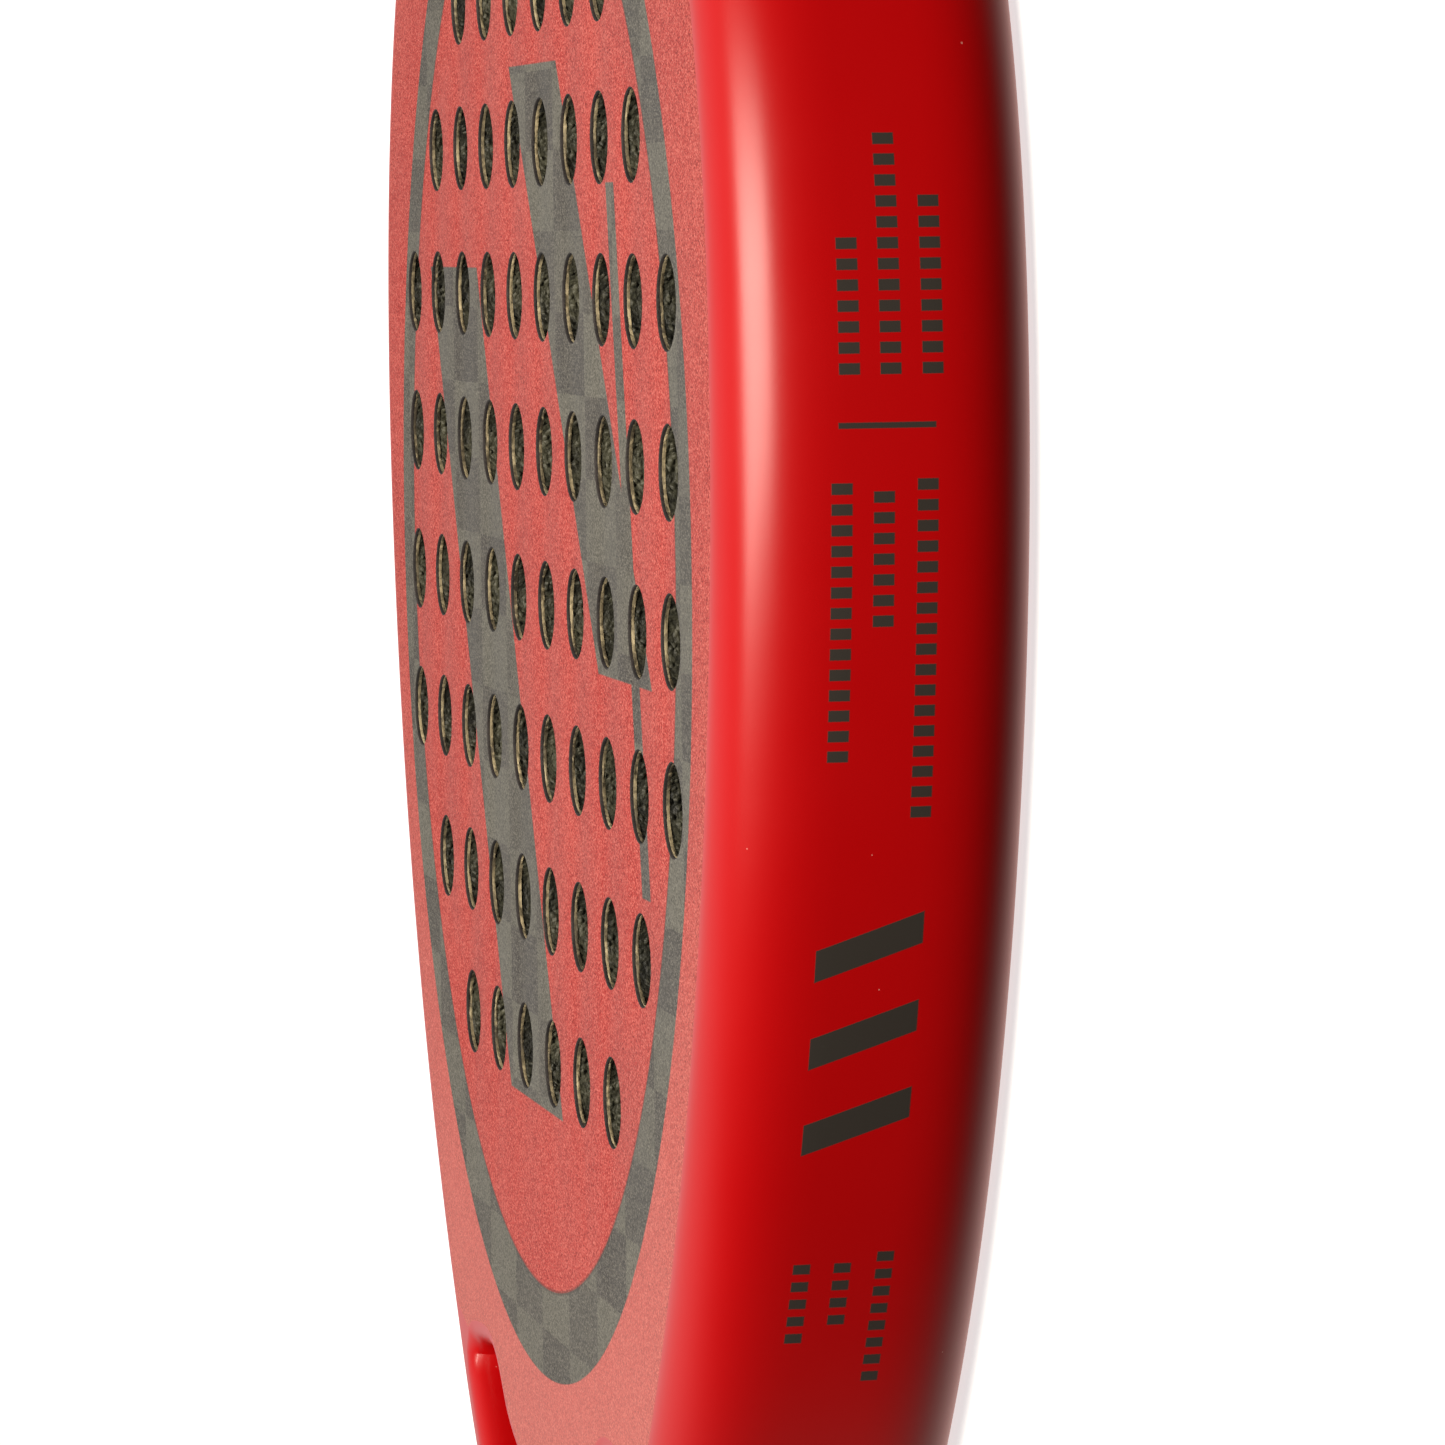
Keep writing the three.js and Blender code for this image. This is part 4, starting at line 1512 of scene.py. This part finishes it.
@dataclass
class Handle:
    """The handle's visible pieces: grip, tape, collar, cap, eyelet and pins.

    Attributes:
        section: The sleeve's section.
        wrap_pitch: How far the grip strip climbs in one turn, in millimetres.
        fit: The room between the sleeve and the pieces over it.
    """

    section: HandleSection
    wrap_pitch: float = 22.0
    fit: float = 0.35

    def growth(self, box: NodeBox) -> float:
        """Gives how far a node's outside stands out from the sleeve's."""
        return box.half(0) - self.section.half_x

    def close(self, piece: Piece, rings: Sequence[np.ndarray], crease: float = 50.0) -> bpy.types.Object:
        """Makes a piece from rings whose last one joins the first.

        Args:
            piece: What it is.
            rings: Its rings of points.
            crease: The angle in degrees above which an edge stays sharp.

        Returns:
            The piece's object.
        """
        draft = MeshDraft()
        draft.strip(rings, around=True, along=True)
        return piece.make(draft, crease)

    def loop(self, piece: Piece, profile: Sequence[tuple[float, ...]]) -> None:
        """Makes a closed ring from a profile around the handle.

        Args:
            piece: What it is.
            profile: For each ring its y and growth, and for a bore its radius and blend.
        """
        self.close(piece, [self.section.ring(*row) for row in profile])

    def build(self) -> None:
        """Makes every visible piece of the handle."""
        for make in (self.grip, self.tape, self.collar, self.cap, self.eyelet, self.pins):
            make()

    def wrap_height(self, turn: np.ndarray) -> np.ndarray:
        """Gives the strip's height over its own width, with the lap where it crosses itself.

        Args:
            turn: How far across the strip, from 0 to 1.

        Returns:
            The height in millimetres.
        """
        lap = 0.75 * ease(turn / 0.035) * (1.0 - 0.75 * ease((turn - 0.06) / 0.3))
        dip = -0.28 * (1.0 - ease((1.0 - turn) / 0.05)) - 0.2 * (1.0 - ease(turn / 0.02))
        crown = 0.12 * np.sin(math.pi * turn)
        return lap + dip + crown

    def grip(self) -> None:
        """Makes the spiral grip as one closed sleeve."""
        box = NodeBox("grip_wrap")
        start, stop = box.low[1], box.high[1]
        section = self.section
        around = np.arange(section.count) / section.count
        inner = section.even(self.fit)
        outer = section.even(self.growth(box) - self.fit)
        direction = outer - inner
        direction /= np.hypot(*direction.T)[:, None]
        rings = []
        for y in np.linspace(start, stop, 380):
            turn = ((y - start) / self.wrap_pitch + around) % 1.0
            end = ease(min(y - start, stop - y) / 0.8)
            height = self.wrap_height(turn) * end - 0.5 * (1 - end)
            rings.append(section.placed(outer + direction * height[:, None], y))
        bore = [section.ring(stop, self.fit), section.ring(start, self.fit)]
        spiral = Piece("grip_spiral", "grip", ("grip_wrap",), (GRIP,))
        self.lay_uv(self.close(spiral, rings + bore, crease=60.0), start)

    def lay_uv(self, piece: bpy.types.Object, start: float) -> None:
        """Lays coordinates along the strip, with one unit for each perforation.

        Args:
            piece: The grip.
            start: The grip's lower end, in millimetres.
        """
        mesh = piece.data
        layer = mesh.uv_layers.new(name="wrap")
        points = np.empty(len(mesh.vertices) * 3)
        mesh.vertices.foreach_get("co", points)
        points = points.reshape(-1, 3) / MM
        corners = np.empty(len(mesh.loops), dtype=np.int32)
        mesh.loops.foreach_get("vertex_index", corners)
        angle = np.arctan2(points[:, 2] - self.section.middle_z, points[:, 0]) / (2 * math.pi)
        own = (angle % 1.0)[corners].reshape(-1, 4)
        split = np.ptp(own, axis=1)[:, None] > 0.5
        turn = np.where(split & (own < 0.5), own + 1.0, own).reshape(-1)
        climb = (points[corners, 1] - start) / self.wrap_pitch + turn
        pairs = np.stack([turn * 34.0, climb * 8.0], axis=1)
        layer.data.foreach_set("uv", pairs.reshape(-1))

    def tape(self) -> None:
        """Makes the finishing tape over the grip's upper end."""
        box = NodeBox("finishing_tape")
        grow = self.growth(box)
        y0, y1 = box.low[1], box.high[1]
        profile = [
            (y0, grow - 0.45), (y0, grow - 0.1), (y0 + 0.3, grow), (y0 + 5.0, grow + 0.05),
            (y0 + 5.1, grow + 0.2), (y0 + 10.0, grow + 0.2), (y1, grow + 0.1), (y1, grow - 0.45),
        ]
        self.loop(Piece("finishing_tape_wrap", "tape", ("finishing_tape",), (TAPE,)), profile)

    def collar(self) -> None:
        """Makes the ribbed rubber collar."""
        box = NodeBox("grip_collar")
        wall = self.growth(box)
        y0, y1 = box.low[1], box.high[1]
        inner = wall - 1.2
        profile = [(y0, inner), (y0, wall - 0.5), (y0 + 0.15, wall - 0.2), (y0 + 0.5, wall)]
        ribs = 3
        pitch = (y1 - y0 - 4.0) / ribs
        for i in range(ribs):
            start = y0 + 1.6 + i * pitch
            for part in np.linspace(0.0, 1.0, 9):
                groove = 0.28 * (1.0 - math.cos(2 * math.pi * part))
                profile.append((start + part * pitch, wall - groove))
        profile += [(y1 - 1.6, wall), (y1 - 0.6, wall - 0.15), (y1 - 0.2, wall - 0.45)]
        profile += [(y1, wall - 0.9), (y1, inner)]
        self.loop(Piece("rubber_collar", "collar", ("grip_collar",), (RUBBER,)), profile)

    def cap(self) -> None:
        """Makes the butt cap, with its flare, its end recess and the cord hole."""
        box = NodeBox("butt_cap")
        skirt = self.growth(NodeBox("grip_wrap"))
        flare = self.growth(box)
        eye = NodeBox("cord_eyelet").high[0] + 0.15
        end, top = box.low[1], box.high[1]
        plate = end + 5.2
        profile = [
            (top, self.fit), (top, skirt - 0.3), (top - 0.1, skirt - 0.1), (top - 0.4, skirt),
            (plate + 3.2, skirt), (plate + 2.0, skirt + 0.25), (plate + 0.8, skirt + 0.9),
            (plate - 0.4, flare - 0.5), (plate - 1.3, flare - 0.08), (plate - 2.2, flare),
            (end + 1.6, flare), (end + 0.9, flare - 0.2), (end + 0.3, flare - 0.8), (end, flare - 1.7),
            (end, flare - 4.2), (end + 0.15, flare - 4.5), (end + 0.7, flare - 4.8),
            (end + 0.85, flare - 5.4), (end + 0.85, 0.0, eye + 2.2, 0.75),
        ]
        lip = (
            (end + 0.85, 1.4), (end + 0.6, 1.2), (end + 0.1, 0.9), (end, 0.5), (end + 0.1, 0.1),
            (end + 0.4, 0.0), (plate - 0.2, 0.0), (plate, 0.4),
        )
        profile += [(y, 0.0, eye + reach, 1.0) for y, reach in lip]
        profile += [(plate, 0.0, eye + 3.0, 0.6), (plate, 0.0), (plate + 0.3, self.fit)]
        self.loop(Piece("flared_butt_cap", "cap", ("butt_cap",), (CAP_PLASTIC,)), profile)

    def spin(
        self, piece: Piece, profile: np.ndarray, axis: str, place: tuple[float, float, float]
    ) -> None:
        """Makes a small turned piece.

        Args:
            piece: What it is.
            profile: Rows of radius and distance along the axis, a closed loop.
            axis: X or Y.
            place: The middle of its base, in millimetres.
        """
        turn = circle(40)
        rings = []
        for radius, along in profile:
            a, b = (turn * radius).T
            run = np.full(len(turn), along)
            columns = (a, run, b) if axis == "Y" else (run, a, b)
            rings.append(np.column_stack(columns) + place)
        self.close(piece, rings)

    def eyelet(self) -> None:
        """Makes the eyelet in the cord hole."""
        box = NodeBox("cord_eyelet")
        outer = box.half(0)
        wall = 1.0
        inner = outer - wall
        length = box.size(1)
        turns = np.linspace(0.0, math.pi, 9)
        lip = np.stack([1.0 - np.cos(turns), 1.0 - np.sin(turns)], axis=1) * wall / 2 + (inner, 0.0)
        back = [(outer, length - 0.2), (outer - 0.2, length), (inner + 0.1, length), (inner, length - 0.1)]
        profile = np.concatenate([lip, back])
        place = (0.0, box.low[1], self.section.middle_z)
        eyelet = Piece("cord_hole_eyelet", "collar", ("cord_eyelet",), (RUBBER,))
        self.spin(eyelet, profile, "Y", place)

    def pins(self) -> None:
        """Makes the two pins that hold the cap, with domed heads."""
        for name, sign in (("right", 1.0), ("left", -1.0)):
            box = NodeBox(f"butt_pin_{name}")
            radius = box.half(2)
            base = box.low[0] if sign > 0 else box.high[0]
            dome = np.linspace(0.0, math.pi / 2, 7)
            along = box.size(0) - 0.35 * (1.0 - np.sin(dome))
            head = np.stack([radius * np.cos(dome), sign * along], axis=1)
            tip = 0.02
            head[-1, 0] = tip
            profile = np.concatenate([[(tip, 0.0), (radius * 0.9, 0.0), (radius, sign * 0.2)], head])
            place = (base, box.middle(1), self.section.middle_z)
            pin = Piece(f"cap_pin_{name}", "pin_steel", (f"butt_pin_{name}",), (STEEL,))
            self.spin(pin, profile, "X", place)


@dataclass
class HiddenPieces:
    """The pieces inside the racket, which keep their shape from the frame."""

    finishes: tuple[tuple[str, Finish], ...] = (
        ("frame_foam_right", FILLER),
        ("frame_foam_left", FILLER),
        ("bridge_foam", FILLER),
        ("handle_core", FILLER),
        ("handle_sleeve", BARE_CARBON),
    )

    def build(self) -> None:
        """Gives each inner piece its finish."""
        for node, finish in self.finishes:
            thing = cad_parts[node]
            thing.data.materials.clear()
            thing.data.materials.append(finish.material())
            LOG.info("%s: finish %s", node, finish.name)


# ---- Studio ----


@dataclass
class Softbox:
    """One soft area light, in metres.

    Attributes:
        name: The light's name.
        place: Where it hangs.
        aim: What it points at.
        size: Its width and height.
        power: Its power in watts.
        colour: The colour of its light.
    """

    name: str
    place: tuple[float, float, float]
    aim: tuple[float, float, float]
    size: tuple[float, float]
    power: float
    colour: tuple[float, float, float] = (1.0, 0.92, 0.8)

    def build(self) -> None:
        """Hangs the light."""
        data = bpy.data.lights.new(self.name, "AREA")
        data.shape = "RECTANGLE"
        data.size, data.size_y = self.size
        data.energy = self.power
        data.color = self.colour
        lamp = add_to_scene(self.name, data)
        lamp.location = self.place
        direction = Vector(self.aim) - Vector(self.place)
        lamp.rotation_euler = direction.to_track_quat("-Z", "Y").to_euler()


@dataclass
class Studio:
    """The floor, the light and the camera.

    Attributes:
        lens: The camera's focal length in millimetres, on a 36 mm sensor.
        eye: Where the camera stands, in metres.
        right: The direction of the picture's right side.
        down: The direction of its lower side.
    """

    lens: float = 163.5
    eye: tuple[float, float, float] = (0.8605, 0.12686, 0.1959)
    right: tuple[float, float, float] = (0.20964, -0.01232, -0.97770)
    down: tuple[float, float, float] = (0.07175, -0.99703, 0.02795)

    def camera(self) -> None:
        """Sets up the camera."""
        data = bpy.data.cameras.new("studio_camera")
        data.lens = self.lens
        data.sensor_width = 36.0
        data.clip_start = 0.05
        camera = add_to_scene("studio_camera", data)
        across = Vector(self.right).normalized()
        up = -Vector(self.down).normalized()
        back = across.cross(up).normalized()
        up = back.cross(across)
        turn = Matrix((across, up, back)).transposed().to_4x4()
        camera.matrix_world = Matrix.Translation(Vector(self.eye)) @ turn
        bpy.context.scene.camera = camera

    def floor(self) -> None:
        """Lays the plain pale floor just under the racket."""
        mesh = bpy.data.meshes.new("floor")
        half = 6.0
        corners = [(-half, -half, 0.0), (half, -half, 0.0), (half, half, 0.0), (-half, half, 0.0)]
        mesh.from_pydata(corners, [], [(0, 1, 2, 3)])
        material = bpy.data.materials.new("pale_floor")
        material.use_nodes = True
        settings = {
            "Base Color": (0.6, 0.6, 0.6, 1.0),
            "Roughness": 0.9,
            "Specular IOR Level": 0.1,
            "Emission Color": (1.0, 1.0, 1.0, 1.0),
            "Emission Strength": 0.7,
        }
        for name, value in settings.items():
            material.node_tree.nodes["Principled BSDF"].inputs[name].default_value = value
        mesh.materials.append(material)
        floor = add_to_scene("floor", mesh)
        floor.location.z = -0.0004
        floor.visible_glossy = False
        floor.visible_diffuse = False

    def light(self) -> None:
        """Hangs the lights and sets the soft surroundings."""
        world = bpy.data.worlds.new("studio_air")
        world.use_nodes = True
        graph = Graph(world.node_tree)
        air = graph.node("ShaderNodeTexCoord").outputs["Generated"]
        aim = graph.node("ShaderNodeSeparateXYZ", {0: air}).outputs
        far = graph.smooth(aim[0], 0.3, -0.55)
        above = graph.smooth(aim[2], -0.08, 0.08)
        level = graph.math("MULTIPLY_ADD", above, -0.5, 1.15)
        background = world.node_tree.nodes["Background"]
        graph.put(background.inputs["Strength"], graph.math("MULTIPLY_ADD", far, level, 0.02))
        warm = graph.mix(above, (1.0, 0.68, 0.61, 1.0), (1.0, 0.98, 0.96, 1.0))
        graph.put(background.inputs["Color"], warm)
        bpy.context.scene.world = world
        Softbox("key", (0.96, 0.28, 1.33), (0.1, 0.1, 0.02), (0.85, 1.15), 49.0).build()

    def build(self) -> None:
        """Sets up the whole studio."""
        bpy.context.scene.view_settings.view_transform = "Standard"
        self.camera()
        self.floor()
        self.light()


def main() -> None:
    """Builds the racket and its studio."""
    logging.basicConfig(level=logging.INFO, format="%(name)s: %(message)s")
    Studio().build()
    tube = NodeBox("frame_tube")
    plan = Plan(tube.half(0), tube.high[1], tube.half(2), tube.middle(2))
    shell = Shell(plan)
    shell.build()
    Head(shell, HoleGrid()).build()
    sleeve = NodeBox("handle_sleeve")
    Handle(HandleSection(sleeve.half(0), sleeve.half(2), 7.0, plan.middle_z)).build()
    HiddenPieces().build()


if __name__ == "__main__":
    main()
